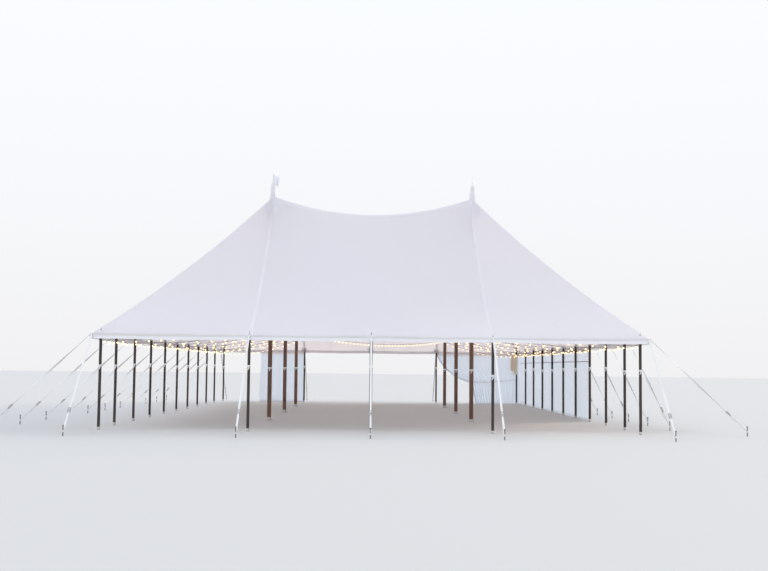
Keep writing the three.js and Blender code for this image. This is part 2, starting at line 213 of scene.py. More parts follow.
def top_of(node):
    """The height of a node's highest point."""
    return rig.box(node)[1].z


POLES = {"front": 3, "back": 3, "left": BAYS - 1, "right": BAYS - 1, "corner": 4}
poles_on = {side: [f"pole_{side}_{k + 1}" for k in range(count)] for side, count in POLES.items()}
pole_names = [name for names in poles_on.values() for name in names]
ROWS, SIDES = ("front", "mid", "back"), ("left", "right")
mast_names = [f"mast_{row}_{side}" for row in ROWS for side in SIDES]
print("masts", len(mast_names), "poles", len(pole_names))

# %% [markdown]
# The camera stands on the lawn before the open front, a little above eye height, far enough away to
# take in the whole tent with a normal lens. It looks up by four degrees and leans by half a degree,
# so the eaves run slightly downhill to the right. Turning a camera by a product of rotations keeps
# the three angles apart: first the turn to the side, then the tilt, then the lean.

# %% Camera
IMAGE_WIDTH, FOCAL_PIXELS, SENSOR = 768, 1130, 36.0
EYE = Vector((-0.035, -40.4, 1.62))
TURN, TILT, LEAN = math.radians(-0.684), math.radians(4.15), math.radians(0.6)

camera_data = bpy.data.cameras.new("camera")
camera_data.sensor_width = SENSOR
camera_data.lens = FOCAL_PIXELS / IMAGE_WIDTH * SENSOR
camera_data.clip_end = 500
camera = bpy.data.objects.new("camera", camera_data)
looking = Matrix.Rotation(TURN, 4, "Z") @ Matrix.Rotation(math.pi / 2 + TILT, 4, "X")
camera.matrix_world = Matrix.Translation(EYE) @ looking @ Matrix.Rotation(LEAN, 4, "Z")
bpy.context.scene.collection.objects.link(camera)
bpy.context.scene.camera = camera
print("lens", round(camera_data.lens, 1), "mm")

# %% [markdown]
# Every piece goes the same way from bmesh to scene: the mesh is stored, shaded smooth except where
# its faces meet at a real edge, given its finishes, and made to ride on the tent. Each object stays
# at the origin, with its place in its mesh. Repeated shapes are built once and then copied into one
# joined mesh, because hundreds of separate bulbs or shackles would only make the file heavy. Cloth
# and ribbons all start as a grid primitive: each of its points is sent to its place by one function,
# and to its spot on the map by another, and a grid that runs round is merged where it meets itself.

# %% Helpers for every piece
SHARP = math.radians(38)


def as_piece(bm, name, finishes, slot=None):
    """Stores a bmesh as a finished piece of the tent."""
    mesh = bpy.data.meshes.new(name)
    bm.to_mesh(mesh)
    bm.free()
    for finish in finishes:
        mesh.materials.append(finish)
    mesh.shade_smooth()
    mesh.set_sharp_from_angle(angle=SHARP)
    piece = bpy.data.objects.new(name, mesh)
    bpy.context.scene.collection.objects.link(piece)
    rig.ride(piece, "root")
    if slot:
        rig.slot(piece, slot)
    print(name, len(mesh.polygons), "faces")
    return piece


def turned(bm, profile, centre=(0, 0, 0), steps=24, finish=0):
    """Spins a profile of (radius, height) pairs round an upright axis through centre."""
    before = set(bm.faces)
    centre = Vector(centre)
    ring = [bm.verts.new(centre + Vector((radius, 0, height))) for radius, height in profile]
    edges = [bm.edges.new(pair) for pair in zip(ring, ring[1:])]
    bmesh.ops.spin(
        bm, geom=ring + edges, cent=centre, axis=(0, 0, 1), angle=2 * math.pi, steps=steps,
        use_merge=True,
    )
    bmesh.ops.remove_doubles(bm, verts=bm.verts, dist=1e-6)
    faces = [face for face in bm.faces if face not in before]
    bmesh.ops.recalc_face_normals(bm, faces=faces)
    for face in faces:
        face.material_index = finish
    return faces


def mapped_grid(bm, columns, rows, place, chart, finish=0, joined=False, capped=False):
    """A grid with its points at place(column, row), and mapped to chart(column, row).

    A joined one is merged where it meets itself, and a capped one gets its open ends filled.
    """
    before = set(bm.faces)
    map_layer = bm.loops.layers.uv.verify()
    verts = bmesh.ops.create_grid(bm, x_segments=columns, y_segments=rows, size=1)["verts"]
    spots = {
        vert: (round((vert.co.x + 1) / 2 * columns), round((vert.co.y + 1) / 2 * rows))
        for vert in verts
    }
    for face in dict.fromkeys(face for vert in verts for face in vert.link_faces):
        for loop in face.loops:
            loop[map_layer].uv = chart(*spots[loop.vert])
    for vert, spot in spots.items():
        vert.co = place(*spot)
    if joined:
        bmesh.ops.remove_doubles(bm, verts=verts, dist=1e-6)
    faces = [face for face in bm.faces if face not in before]
    if capped:
        rims = dict.fromkeys(edge for face in faces for edge in face.edges if edge.is_boundary)
        faces += bmesh.ops.holes_fill(bm, edges=list(rims))["faces"]
    if joined:
        bmesh.ops.recalc_face_normals(bm, faces=faces)
    for face in faces:
        face.material_index = finish
    return faces


def block(bm, size, centre=(0, 0, 0), bevel=0.0, finish=0):
    """A box with softened edges."""
    made = bmesh.ops.create_cube(bm, size=1)["verts"]
    bmesh.ops.scale(bm, vec=size, verts=made)
    bmesh.ops.translate(bm, vec=centre, verts=made)
    faces = list({face for vert in made for face in vert.link_faces})
    for face in faces:
        face.material_index = finish
    if bevel:
        edges = list({edge for vert in made for edge in vert.link_edges})
        bmesh.ops.bevel(
            bm, geom=edges, offset=bevel, segments=2, affect="EDGES", profile=0.5, material=-1,
        )


def set_in(bm, pattern, places):
    """Adds a copy of the pattern to a bmesh at each place, a list of matrices."""
    source = bpy.data.meshes.new("pattern")
    pattern.to_mesh(source)
    pattern.free()
    for place in places:
        copy = source.copy()
        copy.transform(place)
        bm.from_mesh(copy)
        bpy.data.meshes.remove(copy)
    bpy.data.meshes.remove(source)
    return bm


# %% [markdown]
# A finish is a small tree of nodes. The helpers below add a node with its settings and values in one
# line, and start a material with its Principled shader. Values that are the same all over a surface
# are set on the shader itself, and only what changes over the surface is wired in.

# %% Helpers for finishes


def node_in(tree, kind, values=(), **settings):
    """Adds a node, sets its properties, and fills or links its inputs from (input, value) pairs."""
    node = tree.nodes.new(kind)
    for key, value in settings.items():
        setattr(node, key, value)
    for key, value in values:
        if isinstance(value, bpy.types.NodeSocket):
            tree.links.new(value, node.inputs[key])
        else:
            node.inputs[key].default_value = value
    return node


def maths(tree, operation, *values):
    """The output of a Math node."""
    return node_in(tree, "ShaderNodeMath", list(enumerate(values)), operation=operation).outputs[0]


def blend(tree, factor, first, second):
    """The output of a colour mix."""
    mix = node_in(tree, "ShaderNodeMix", [(0, factor), (6, first), (7, second)], data_type="RGBA")
    return mix.outputs[2]


def start_material(name, **values):
    """A material with one Principled shader, whose plain values are set on its own sockets."""
    material = bpy.data.materials.new(name)
    material.use_nodes = True
    shader = material.node_tree.nodes["Principled BSDF"]
    for key, value in values.items():
        shader.inputs[key.replace("_", " ")].default_value = value
    return material, material.node_tree, shader


def start_group(name, inputs, outputs):
    """A node group with named sockets. Inputs are (name, kind, default), outputs (name, kind)."""
    group = bpy.data.node_groups.new(name, "ShaderNodeTree")
    for label, kind, default in inputs:
        socket = group.interface.new_socket(label, in_out="INPUT", socket_type="NodeSocket" + kind)
        if default is not None:
            socket.default_value = default
    for label, kind in outputs:
        group.interface.new_socket(label, in_out="OUTPUT", socket_type="NodeSocket" + kind)
    start, end = group.nodes.new("NodeGroupInput"), group.nodes.new("NodeGroupOutput")
    return group, start.outputs, end.inputs


def placed_group(tree, group, values):
    """A node group set into a tree, with its inputs filled or linked."""
    return node_in(tree, "ShaderNodeGroup", values, node_tree=group).outputs


def object_place(tree):
    """The place on the object, in metres."""
    return node_in(tree, "ShaderNodeTexCoord").outputs["Object"]


def bumped(tree, shaders, height, strength, distance):
    """Gives the shaders a bump from a height."""
    values = [("Strength", strength), ("Distance", distance), ("Height", height)]
    bump = node_in(tree, "ShaderNodeBump", values)
    for shader in shaders:
        tree.links.new(bump.outputs[0], shader.inputs["Normal"])


# %% [markdown]
# Four effects come back in several finishes, so each is a node group. Weave is the over and under of
# plain cloth, from two crossed sine waves. Soiling is the soft cloudiness that outdoor cloth, wood
# and steel all pick up. Stitching draws rows of thread beside the edge of a sewn strip, from a map
# that holds the distance to that edge and the distance along it. Grain is the long fibre of a
# turned pole.

# %% Shared effects
TAU = 2 * math.pi

weave, given, result = start_group(
    "weave",
    [("Vector", "Vector", None), ("Pitch", "Float", 0.002)],
    [("Height", "Float")],
)
spread = node_in(weave, "ShaderNodeSeparateXYZ", [(0, given["Vector"])]).outputs
turns = [maths(weave, "DIVIDE", axis, given["Pitch"]) for axis in spread[:2]]
waves = [maths(weave, "SINE", maths(weave, "MULTIPLY", turn, TAU)) for turn in turns]
weave.links.new(maths(weave, "MULTIPLY_ADD", maths(weave, "MULTIPLY", *waves), 0.5, 0.5), result[0])

soiling, given, result = start_group(
    "soiling",
    [("Vector", "Vector", None), ("Scale", "Float", 1.0), ("Amount", "Float", 0.5)],
    [("Mask", "Float")],
)
clouds = node_in(
    soiling, "ShaderNodeTexNoise",
    [("Vector", given["Vector"]), ("Scale", given["Scale"]), ("Detail", 5.0), ("Roughness", 0.6)],
).outputs["Fac"]
soft = node_in(
    soiling, "ShaderNodeMapRange",
    [("Value", clouds), ("From Min", 0.4), ("From Max", 0.75)],
).outputs["Result"]
soiling.links.new(maths(soiling, "MULTIPLY", soft, given["Amount"]), result[0])

stitching, given, result = start_group(
    "stitching",
    [("Vector", "Vector", None), ("Inset", "Float", 0.006), ("Stitch", "Float", 0.009)],
    [("Mask", "Float")],
)
spread = node_in(stitching, "ShaderNodeSeparateXYZ", [(0, given["Vector"])]).outputs
off_row = maths(stitching, "ABSOLUTE", maths(stitching, "SUBTRACT", spread[0], given["Inset"]))
on_row = maths(stitching, "LESS_THAN", off_row, 0.0013)
phase = maths(stitching, "FRACT", maths(stitching, "DIVIDE", spread[1], given["Stitch"]))
in_stitch = maths(stitching, "LESS_THAN", phase, 0.62)
stitching.links.new(maths(stitching, "MULTIPLY", on_row, in_stitch), result[0])

grain, given, result = start_group(
    "grain",
    [("Vector", "Vector", None), ("Fineness", "Float", 60.0)],
    [("Mask", "Float"), ("Height", "Float")],
)
along = node_in(
    grain, "ShaderNodeMapping", [("Vector", given["Vector"]), ("Scale", (1.0, 1.0, 0.045))],
).outputs[0]
streaks = node_in(
    grain, "ShaderNodeTexNoise",
    [("Vector", along), ("Scale", given["Fineness"]), ("Detail", 6.0), ("Distortion", 0.4)],
).outputs["Fac"]
broad = node_in(
    grain, "ShaderNodeTexNoise",
    [("Vector", along), ("Scale", 9.0), ("Detail", 3.0)],
).outputs["Fac"]
both = maths(grain, "MULTIPLY_ADD", streaks, 0.55, maths(grain, "MULTIPLY", broad, 0.45))
grain.links.new(node_in(
    grain, "ShaderNodeMapRange", [("Value", both), ("From Min", 0.36), ("From Max", 0.64)],
).outputs["Result"], result[0])
grain.links.new(streaks, result[1])
print("groups", [group.name for group in bpy.data.node_groups])

# %% [markdown]
# Sailcloth is a tight white weave with a cool cast. Seen from below it glows, because daylight comes
# through, so the shader is a Principled one mixed with a Translucent one. The first is clouded a
# little by weather. The second has one plain colour, which is what the light takes on inside; on the
# roof's cloth it is a warm tint, painted warm light that stands in for the lamps and the low sun. The
# fine weave is bump only, and so are the long soft wrinkles that are a few millimetres deep.

# %% Cloth finishes
THREAD = (0.5, 0.49, 0.47, 1)


def cloth_finish(
    name, colour, stained, pitch, through, glow, roughness=0.72, sheen=0.15, stitched=False,
):
    """A woven finish that lets some light through. Its map is in metres."""
    material, tree, shader = start_material(name, Roughness=roughness, Sheen_Weight=sheen)
    place = node_in(tree, "ShaderNodeTexCoord").outputs
    values = [("Vector", place["Object"]), ("Scale", 0.55), ("Amount", 0.55)]
    shade = blend(tree, placed_group(tree, soiling, values)[0], colour, stained)
    woven = placed_group(tree, weave, [("Vector", place["UV"]), ("Pitch", pitch)])[0]
    wrinkles = node_in(
        tree, "ShaderNodeTexNoise", [("Vector", place["Object"]), ("Scale", 2.2), ("Detail", 4.0)],
    ).outputs["Fac"]
    rise = maths(tree, "MULTIPLY_ADD", woven, 0.05, wrinkles)
    if stitched:
        thread = placed_group(tree, stitching, [("Vector", place["UV"])])[0]
        shade = blend(tree, maths(tree, "MULTIPLY", thread, 0.45), shade, THREAD)
        rise = maths(tree, "MULTIPLY_ADD", thread, 0.2, rise)
    tree.links.new(shade, shader.inputs["Base Color"])
    # The Translucent colour tints the light that comes through. The warm one on the roof's cloth and on the gathered
    # cloth is painted warm light, standing in for the lamps and the low sun.
    behind = node_in(tree, "ShaderNodeBsdfTranslucent", [("Color", glow)])
    bumped(tree, [shader, behind], rise, 0.5, 0.01)
    mixed = node_in(
        tree, "ShaderNodeMixShader", [(0, through), (1, shader.outputs[0]), (2, behind.outputs[0])],
    )
    tree.links.new(mixed.outputs[0], tree.nodes["Material Output"].inputs["Surface"])
    return material


# The warm colour that the roof's cloth and its seams let through is painted warm light from the lamps and the low sun.
sailcloth = cloth_finish(
    "sailcloth", (0.83, 0.87, 0.95, 1), (0.79, 0.83, 0.90, 1), 0.0016, 0.6, (0.98, 0.915, 0.88, 1),
)
sewn_cloth = cloth_finish(
    "sewn sailcloth", (0.87, 0.90, 0.97, 1), (0.82, 0.85, 0.92, 1), 0.0016, 0.52,
    (0.98, 0.915, 0.88, 1), stitched=True,
)
hem_cloth = cloth_finish(
    "hem cloth", (0.93, 0.93, 0.96, 1), (0.88, 0.88, 0.91, 1), 0.0016, 0.12,
    (0.92, 0.90, 0.90, 1), stitched=True,
)
wall_cloth = cloth_finish(
    "wall cloth", (0.84, 0.87, 0.92, 1), (0.80, 0.83, 0.88, 1), 0.0012, 0.62, (0.90, 0.95, 1.0, 1),
    sheen=0.1,
)
cap_cloth = cloth_finish(
    "cap cloth", (0.84, 0.84, 0.88, 1), (0.79, 0.79, 0.83, 1), 0.0016, 0.2, (0.90, 0.88, 0.90, 1),
)
flag_cloth = cloth_finish(
    "flag cloth", (0.90, 0.90, 0.93, 1), (0.84, 0.84, 0.87, 1), 0.0012, 0.25, (0.92, 0.91, 0.93, 1),
)
wall_tape = cloth_finish(
    "wall tape", (0.74, 0.77, 0.83, 1), (0.70, 0.73, 0.79, 1), 0.0012, 0.35, (0.80, 0.84, 0.90, 1),
    sheen=0.1, stitched=True,
)
# The gathered cloth is the walls' cloth. Its cream colour and warm glow are painted warm light falling on the bunch.
bunch_cloth_painted_warm_light = cloth_finish(
    "gathered cloth", (0.95, 0.87, 0.76, 1), (0.88, 0.80, 0.69, 1), 0.0012, 0.5,
    (1.0, 0.93, 0.82, 1),
)
webbing = cloth_finish(
    "webbing", (0.80, 0.80, 0.80, 1), (0.66, 0.65, 0.62, 1), 0.0035, 0.08, (0.8, 0.8, 0.78, 1),
    roughness=0.8, sheen=0.3, stitched=True,
)

# %% [markdown]
# The masts are oiled softwood of a warm brown, the side poles a stain so dark that it looks black in
# the shade. Both share the grain effect, and differ in colour, contrast and gloss. Steel is brushed
# and a little rusty where it meets the ground, and the lamps are warm glass globes on black cable.

# %% Wood, steel, cable and lamp finishes


def wood_finish(name, pale, dark, roughness, coat):
    """Turned timber: streaks of two browns under a thin coat, with grime in the wear."""
    material, tree, shader = start_material(name, Coat_Weight=coat, Coat_Roughness=0.35)
    place = object_place(tree)
    mask, height = placed_group(tree, grain, [("Vector", place)])
    worn = placed_group(tree, soiling, [("Vector", place), ("Scale", 3.0), ("Amount", 0.35)])[0]
    grimy = (*(0.55 * c for c in pale[:3]), 1)
    colour = blend(tree, worn, blend(tree, mask, dark, pale), grimy)
    tree.links.new(colour, shader.inputs["Base Color"])
    gloss = maths(tree, "MULTIPLY_ADD", mask, 0.18, roughness)
    tree.links.new(gloss, shader.inputs["Roughness"])
    bumped(tree, [shader], height, 0.35, 0.002)
    return material


def steel_finish(name, colour, rust, amount, roughness):
    """Brushed steel with rusty clouds, which are rougher and not metallic."""
    material, tree, shader = start_material(name)
    values = [("Vector", object_place(tree)), ("Scale", 28.0), ("Amount", amount)]
    rusted = placed_group(tree, soiling, values)[0]
    tree.links.new(blend(tree, rusted, colour, rust), shader.inputs["Base Color"])
    tree.links.new(maths(tree, "SUBTRACT", 1.0, rusted), shader.inputs["Metallic"])
    tree.links.new(maths(tree, "MULTIPLY_ADD", rusted, 0.4, roughness), shader.inputs["Roughness"])
    bumped(tree, [shader], rusted, 0.3, 0.001)
    return material


def clouded_finish(name, socket, scale, amount, clean, clouded, **values):
    """A smooth finish with two colours that cloud into each other."""
    material, tree, shader = start_material(name, **values)
    inputs = [("Vector", object_place(tree)), ("Scale", scale), ("Amount", amount)]
    clouds = placed_group(tree, soiling, inputs)[0]
    tree.links.new(blend(tree, clouds, clean, clouded), shader.inputs[socket])
    return material


mast_wood = wood_finish("mast wood", (0.22, 0.105, 0.06, 1), (0.10, 0.045, 0.027, 1), 0.45, 0.2)
pole_wood = wood_finish("pole wood", (0.055, 0.034, 0.027, 1), (0.022, 0.014, 0.011, 1), 0.5, 0.1)
steel = steel_finish("steel", (0.55, 0.55, 0.54, 1), (0.16, 0.08, 0.045, 1), 0.5, 0.35)
iron = steel_finish("stake iron", (0.23, 0.22, 0.21, 1), (0.17, 0.075, 0.04, 1), 1.0, 0.45)

cap_paint = clouded_finish(
    "white spire paint", "Base Color", 14.0, 0.7, (0.82, 0.82, 0.84, 1), (0.62, 0.61, 0.60, 1),
    Roughness=0.45,
)
rubber = clouded_finish(
    "cable rubber", "Base Color", 12.0, 0.6, (0.02, 0.02, 0.018, 1), (0.05, 0.048, 0.044, 1),
    Roughness=0.6,
)
lamp_glass = clouded_finish(
    "lamp glass", "Emission Color", 1.7, 1.0, (1.0, 0.66, 0.31, 1), (1.0, 0.78, 0.46, 1),
    Base_Color=(0.9, 0.72, 0.45, 1), Roughness=0.12, Emission_Strength=1.9,
)
print("finishes", len(bpy.data.materials))

# %% [markdown]
# Strings of small globe lamps swing over both side aisles, and one crosses the middle of the tent
# from mast to mast. A string is a cord of fixed length held at hooks on poles and masts, and between
# two hooks it hangs in an arc. Its line is worked out hook by hook, as in the construction: at each
# hook it turns in a small round bend, and between hooks it dips by a share of the distance. An open
# curve with a round bevel is the cable.

# %% Light strings
CABLE, BEND, DIPS = 0.007, 0.030, 12
# A swinging string: the pole it starts from, and its height at the masts and at the poles.
SWINGS = {"upper": (0, 2.780, 2.225), "lower": (1, 2.660, 2.225)}
EAVE_LEVEL, MIDDLE_LEVELS = 2.270, (2.820, 2.740)
SAGS = {"upper": 0.012, "lower": 0.024, "eave": 0.02, "middle": 0.0237}


def pole_hook(place, sign, height):
    """The point where a string passes the inner face of a side pole, and the way it turns."""
    return Vector((place.x - sign * (POLE_RADIUS + CABLE / 2 + GAP), place.y, height)), -sign


def swing_hooks(sign, poles, first, mast_level, pole_level):
    """The hooks of a string that swings to and fro between side poles and masts."""
    at_poles = [pole_hook(poles[first + k], sign, pole_level) for k in (0, 3, 6, 9)]
    reach = sign * (MAST_X + MAST_RADIUS + CABLE / 2 + GAP)
    at_masts = [(Vector((reach, y, mast_level)), sign) for y in (-MAST_Y, 0.0, MAST_Y)]
    hooks = [at_poles[0]]
    for mast, pole in zip(at_masts, at_poles[1:]):
        hooks += [mast, pole]
    return hooks


def bend_at(k, hooks):
    """The points of the bend at a hook."""
    place, away = hooks[k]
    if k in (0, len(hooks) - 1):
        return [place]

    def heading(start, end):
        return math.atan2((end.x - start.x) * away, end.y - start.y)

    entry, leaving = heading(hooks[k - 1][0], place), heading(place, hooks[k + 1][0])
    turns = [entry, entry / 2, 0, leaving / 2, leaving] if leaving - entry > 0.5 else [0]
    return [place + BEND * Vector((away * (1 - math.cos(a)), math.sin(a), 0)) for a in turns]


def string_route(hooks, sag):
    """The points of a string from its first hook to its last."""
    route = []
    for k in range(len(hooks)):
        bend = bend_at(k, hooks)
        if route:
            start, end = route[-1], bend[0]
            for step in range(1, DIPS):
                t = step / DIPS
                point = start.lerp(end, t)
                point.z -= sag * (end - start).length * 4 * t * (1 - t)
                route.append(point)
        route += bend
    return route


def length_of(route):
    return sum((b - a).length for a, b in zip(route, route[1:]))


def cable_along(name, route):
    """The cable as one open curve with a round section."""
    curve = bpy.data.curves.new(name, "CURVE")
    curve.dimensions = "3D"
    curve.bevel_depth = CABLE / 2
    curve.bevel_resolution = 2
    curve.use_fill_caps = True
    spline = curve.splines.new("POLY")
    spline.points.add(len(route) - 1)
    for point, place in zip(spline.points, route):
        point.co = (*place, 1)
    curve.materials.append(rubber)
    cable = bpy.data.objects.new(name, curve)
    bpy.context.scene.collection.objects.link(cable)
    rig.ride(cable, "root")
    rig.slot(cable, "light_cable")
    return cable


routes = {}
for side, sign, corners in (("left", -1, (0, 2)), ("right", 1, (1, 3))):
    front, back = (poles_on["corner"][k] for k in corners)
    poles = [middle(name) for name in (front, *poles_on[side], back)]
    for level, swing in SWINGS.items():
        routes[f"{side}_{level}"] = string_route(swing_hooks(sign, poles, *swing), SAGS[level])
    hooks = [pole_hook(pole, sign, EAVE_LEVEL) for pole in poles]
    routes[f"{side}_eave"] = string_route(hooks, SAGS["eave"])
inwards = Vector((MAST_X, MAST_Y, 0)).normalized() * (MAST_RADIUS + GAP)
first = Vector((-MAST_X, -MAST_Y, MIDDLE_LEVELS[0])) + inwards
last = Vector((MAST_X, MAST_Y, MIDDLE_LEVELS[1])) - inwards
routes["middle"] = string_route([(first, -1), (last, 1)], SAGS["middle"])
for name, route in routes.items():
    print("string", name, len(route), "points", round(length_of(route), 2), "m")

# %% [markdown]
# The lamps sit half a metre apart on the swinging strings, further apart along the eaves, and closer
# together on the one in the middle. Each is a small black socket under the cable and a round globe
# below it, spun from a profile of a few points, because hundreds of them hang here and each must
# stay light. The lamps of one string are one mesh, declared to go with their cord.

# %% Lamps
LAMP_STEPS = {"upper": 0.48, "lower": 0.48, "eave": 0.62, "middle": 0.28}
SOCKET, SOCKET_GIRTH, GLOBE = 0.024, 0.017, 0.025


def lamp_pattern():
    """A socket under the cable and a globe under the socket."""
    bm = bmesh.new()
    drop = -CABLE / 2 - SOCKET
    girth = SOCKET_GIRTH / 2
    turned(bm, [(0, CABLE / 2), (girth, 0.001), (girth, drop), (0, drop)], steps=6, finish=0)
    turns = [math.pi * k / 5 for k in range(1, 5)]
    rounds = [(GLOBE * math.sin(a), drop - GLOBE * (1 - math.cos(a))) for a in turns]
    turned(bm, [(0, drop), *rounds, (0, drop - 2 * GLOBE)], steps=8, finish=1)
    return bm


def points_along(route, step):
    """Evenly spaced points on a route, with half a step left at each end."""
    reached = list(accumulate(((b - a).length for a, b in zip(route, route[1:])), initial=0.0))
    wanted = np.arange(step / 2, reached[-1], step)
    return np.stack([np.interp(wanted, reached, along) for along in zip(*route)], axis=1)


for name, route in routes.items():
    cable = cable_along(f"light_string_{name}", route)
    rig.replaces(cable, f"lights_{name}")
    step = LAMP_STEPS[name.split("_")[-1]]
    places = [Matrix.Translation(point) for point in points_along(route, step)]
    joined = set_in(bmesh.new(), lamp_pattern(), places)
    lamps = as_piece(joined, f"lamps_{name}", [rubber, lamp_glass])
    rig.cord(
        cable, exit=route[0], length=length_of(route), diameter=CABLE, far_end="object",
        stiffness="limp", lay="hanging", with_pieces=[lamps],
    )

# %% [markdown]
# The roof is a height over every point of the plan. It is known along the eaves, hips, ridges and
# main seams, where webbing holds the cloth, and in between the cloth pulls itself as even as a soap
# film. So the heights start from a coarse grid, each free point moves to the average of its
# neighbours until nothing changes, and the result seeds a finer grid. The grid lines crowd together
# near the masts, where the cloth turns steep like a bell.

# %% The shape of the roof
CELLS = 72
CROWDING = 0.45


def share_lines(cells, crowd_start, crowd_end):
    """Positions from 0 to 1, closer together at the ends that are asked for."""
    t = np.linspace(0, 1, cells + 1)
    if crowd_start and crowd_end:
        return t - CROWDING * np.sin(TAU * t) / TAU
    return t - CROWDING * (t - t * t) if crowd_start else t + CROWDING * (t - t * t)


def grid_lines(stops, cells):
    """Grid lines through the stops. The outer stretches crowd towards the masts."""
    lines = [stops[0]]
    for k, (start, end) in enumerate(zip(stops, stops[1:])):
        shares = share_lines(cells, k > 0, k < len(stops) - 2)
        lines += list(start + (end - start) * shares[1:])
    return np.array(lines)


def held_heights(xs, ys):
    """The roof's height where seams, ridges, hips and eaves hold it, and nan elsewhere."""
    x, y = np.meshgrid(abs(xs), abs(ys))
    out_x, out_y = (x - MAST_X) / (WIDTH / 2 - MAST_X), (y - MAST_Y) / (LENGTH / 2 - MAST_Y)

    def near(a, b):
        return np.isclose(a, b, atol=1e-6)

    def sagging(t, sag):
        return PEAK + (EAVE - PEAK) * t - sag * 4 * t * (1 - t)

    def seam(t):
        return sagging(t, SEAM_SAG) - SEAM_DIP * t / DIP_AT * np.exp(1 - t / DIP_AT)

    def ridge(t):
        return SADDLE + (PEAK - SADDLE) * t**2

    hip, eave = sagging(out_x, HIP_SAG), np.full_like(x, EAVE)
    return np.select(
        [
            near(out_x, 1) | near(out_y, 1),
            near(out_x, out_y) & (out_x >= -1e-6),
            near(out_x, 0) & (out_y < 0),
            near(out_y, 0) & (out_x < 0),
            near(out_x, 0),
            (near(out_y, 0) | near(y, 0)) & (out_x >= 0),
        ],
        [eave, hip, ridge(2 * y / MAST_Y - 1), ridge(x / MAST_X), seam(out_y), seam(out_x)],
        np.nan,
    )


def relaxed(heights, held, xs, ys, rounds):
    """Moves each free height towards the average of its four neighbours, half the grid at a time."""
    dx, dy = np.diff(xs), np.diff(ys)
    wide, deep = (dx[:-1] + dx[1:])[None], (dy[:-1] + dy[1:])[:, None]
    west, east = deep / dx[:-1][None], deep / dx[1:][None]
    south, north = wide / dy[:-1][:, None], wide / dy[1:][:, None]
    total = west + east + south + north
    free = np.isnan(held)[1:-1, 1:-1]
    parity = np.add.outer(np.arange(len(ys) - 2), np.arange(len(xs) - 2)) % 2
    inner = heights[1:-1, 1:-1]
    for _ in range(rounds):
        for half in (0, 1):
            pulled = west * heights[1:-1, :-2] + east * heights[1:-1, 2:]
            pulled += south * heights[:-2, 1:-1] + north * heights[2:, 1:-1]
            moving = free & (parity == half)
            inner[moving] += 1.8 * (pulled / total - inner)[moving]
    return heights


x_stops = [-WIDTH / 2, -MAST_X, MAST_X, WIDTH / 2]
y_stops = [-LENGTH / 2, -MAST_Y, 0, MAST_Y, LENGTH / 2]
heights = None
for cells in (9, 18, 36, CELLS):
    xs, ys = grid_lines(x_stops, cells), grid_lines(y_stops, cells)
    held = held_heights(xs, ys)
    if heights is None:
        start = np.full(held.shape, (EAVE + PEAK) / 2)
    else:
        rows = np.array([np.interp(xs, old_xs, row) for row in heights])
        start = np.array([np.interp(ys, old_ys, column) for column in rows.T]).T
    heights = relaxed(np.where(np.isnan(held), start, held), held, xs, ys, 300)
    old_xs, old_ys = xs, ys
print("roof grid", heights.shape, "from", round(heights.min(), 3), "to", round(heights.max(), 3))

# %% [markdown]
# Real cloth is never as clean as the sum. It gathers into small folds where a mast or a pole pushes
# into it, and its edge hangs a little lower between the poles. Both are waves that fade with the
# distance from what causes them, added to the heights before any mesh is made.

# %% Folds at the masts and poles
FOLDS_AT_MAST, FOLDS_AT_POLE = 14, 7
EDGE_SAG = 0.014


def folds(x, y, centre, count, reach, depth, turn=0.0):
    """Waves that run out from a point, deepest at the reach and gone a few reaches away."""
    far = np.hypot(x - centre.x, y - centre.y) / reach
    angle = np.arctan2(y - centre.y, x - centre.x)
    return depth * far * np.exp(1 - far) * np.cos(count * angle + turn)


def edge_sag(along, stops, inward):
    """How far the edge hangs between the poles at the stops, fading away from the edge."""
    phase = np.interp(along, stops, range(len(stops)))
    return EDGE_SAG * (1 - np.cos(TAU * phase)) / 2 * np.exp(-inward / 0.35)


plan_x, plan_y = np.meshgrid(xs, ys)
for k, name in enumerate(mast_names):
    heights += folds(plan_x, plan_y, middle(name), FOLDS_AT_MAST, 0.30, 0.007, turn=k)
for k, name in enumerate(pole_names):
    heights += folds(plan_x, plan_y, middle(name), FOLDS_AT_POLE, 0.30, 0.004, turn=1.7 * k)
end_stops = [-WIDTH / 2, -MAST_X, 0, MAST_X, WIDTH / 2]
side_stops = np.linspace(-LENGTH / 2, LENGTH / 2, BAYS + 1)
heights -= edge_sag(plan_x, end_stops, LENGTH / 2 - abs(plan_y))
heights -= edge_sag(plan_y, side_stops, WIDTH / 2 - abs(plan_x))


def roof_height(x, y):
    """The height of the cloth's underside at any place in the plan, on its triangles."""
    x, y = min(max(x, xs[0]), xs[-1]), min(max(y, ys[0]), ys[-1])
    i = min(int(np.searchsorted(xs, x, side="right")) - 1, len(xs) - 2)
    j = min(int(np.searchsorted(ys, y, side="right")) - 1, len(ys) - 2)
    u, v = (x - xs[i]) / (xs[i + 1] - xs[i]), (y - ys[j]) / (ys[j + 1] - ys[j])
    a, b, d, c = (float(heights[row, column]) for row in (j, j + 1) for column in (i, i + 1))
    if (xs[i] + xs[i + 1]) * (ys[j] + ys[j + 1]) > 0:
        return a + (b - a) * u + (c - b) * v if u >= v else a + (c - d) * u + (d - a) * v
    if u + v <= 1:
        return a + (b - a) * u + (d - a) * v
    return c + (d - c) * (1 - u) + (b - c) * (1 - v)


print("eave between poles", round(roof_height(0, -LENGTH / 2) - roof_height(1.5, -LENGTH / 2), 3))

# %% [markdown]
# The roof is sewn in four sections that are laced together over the rows of masts, so each section
# is one continuous sheet. A grid primitive supplies the faces, and each of its points is lifted to
# the height of its place. The squares are then split along the diagonal that follows the hips, so a
# hip stays one clean line instead of a row of teeth. Solidify gives the cloth its thickness.

# %% Roof sections
CLOTH = 0.003
CLOTH_LIFT = 0.001


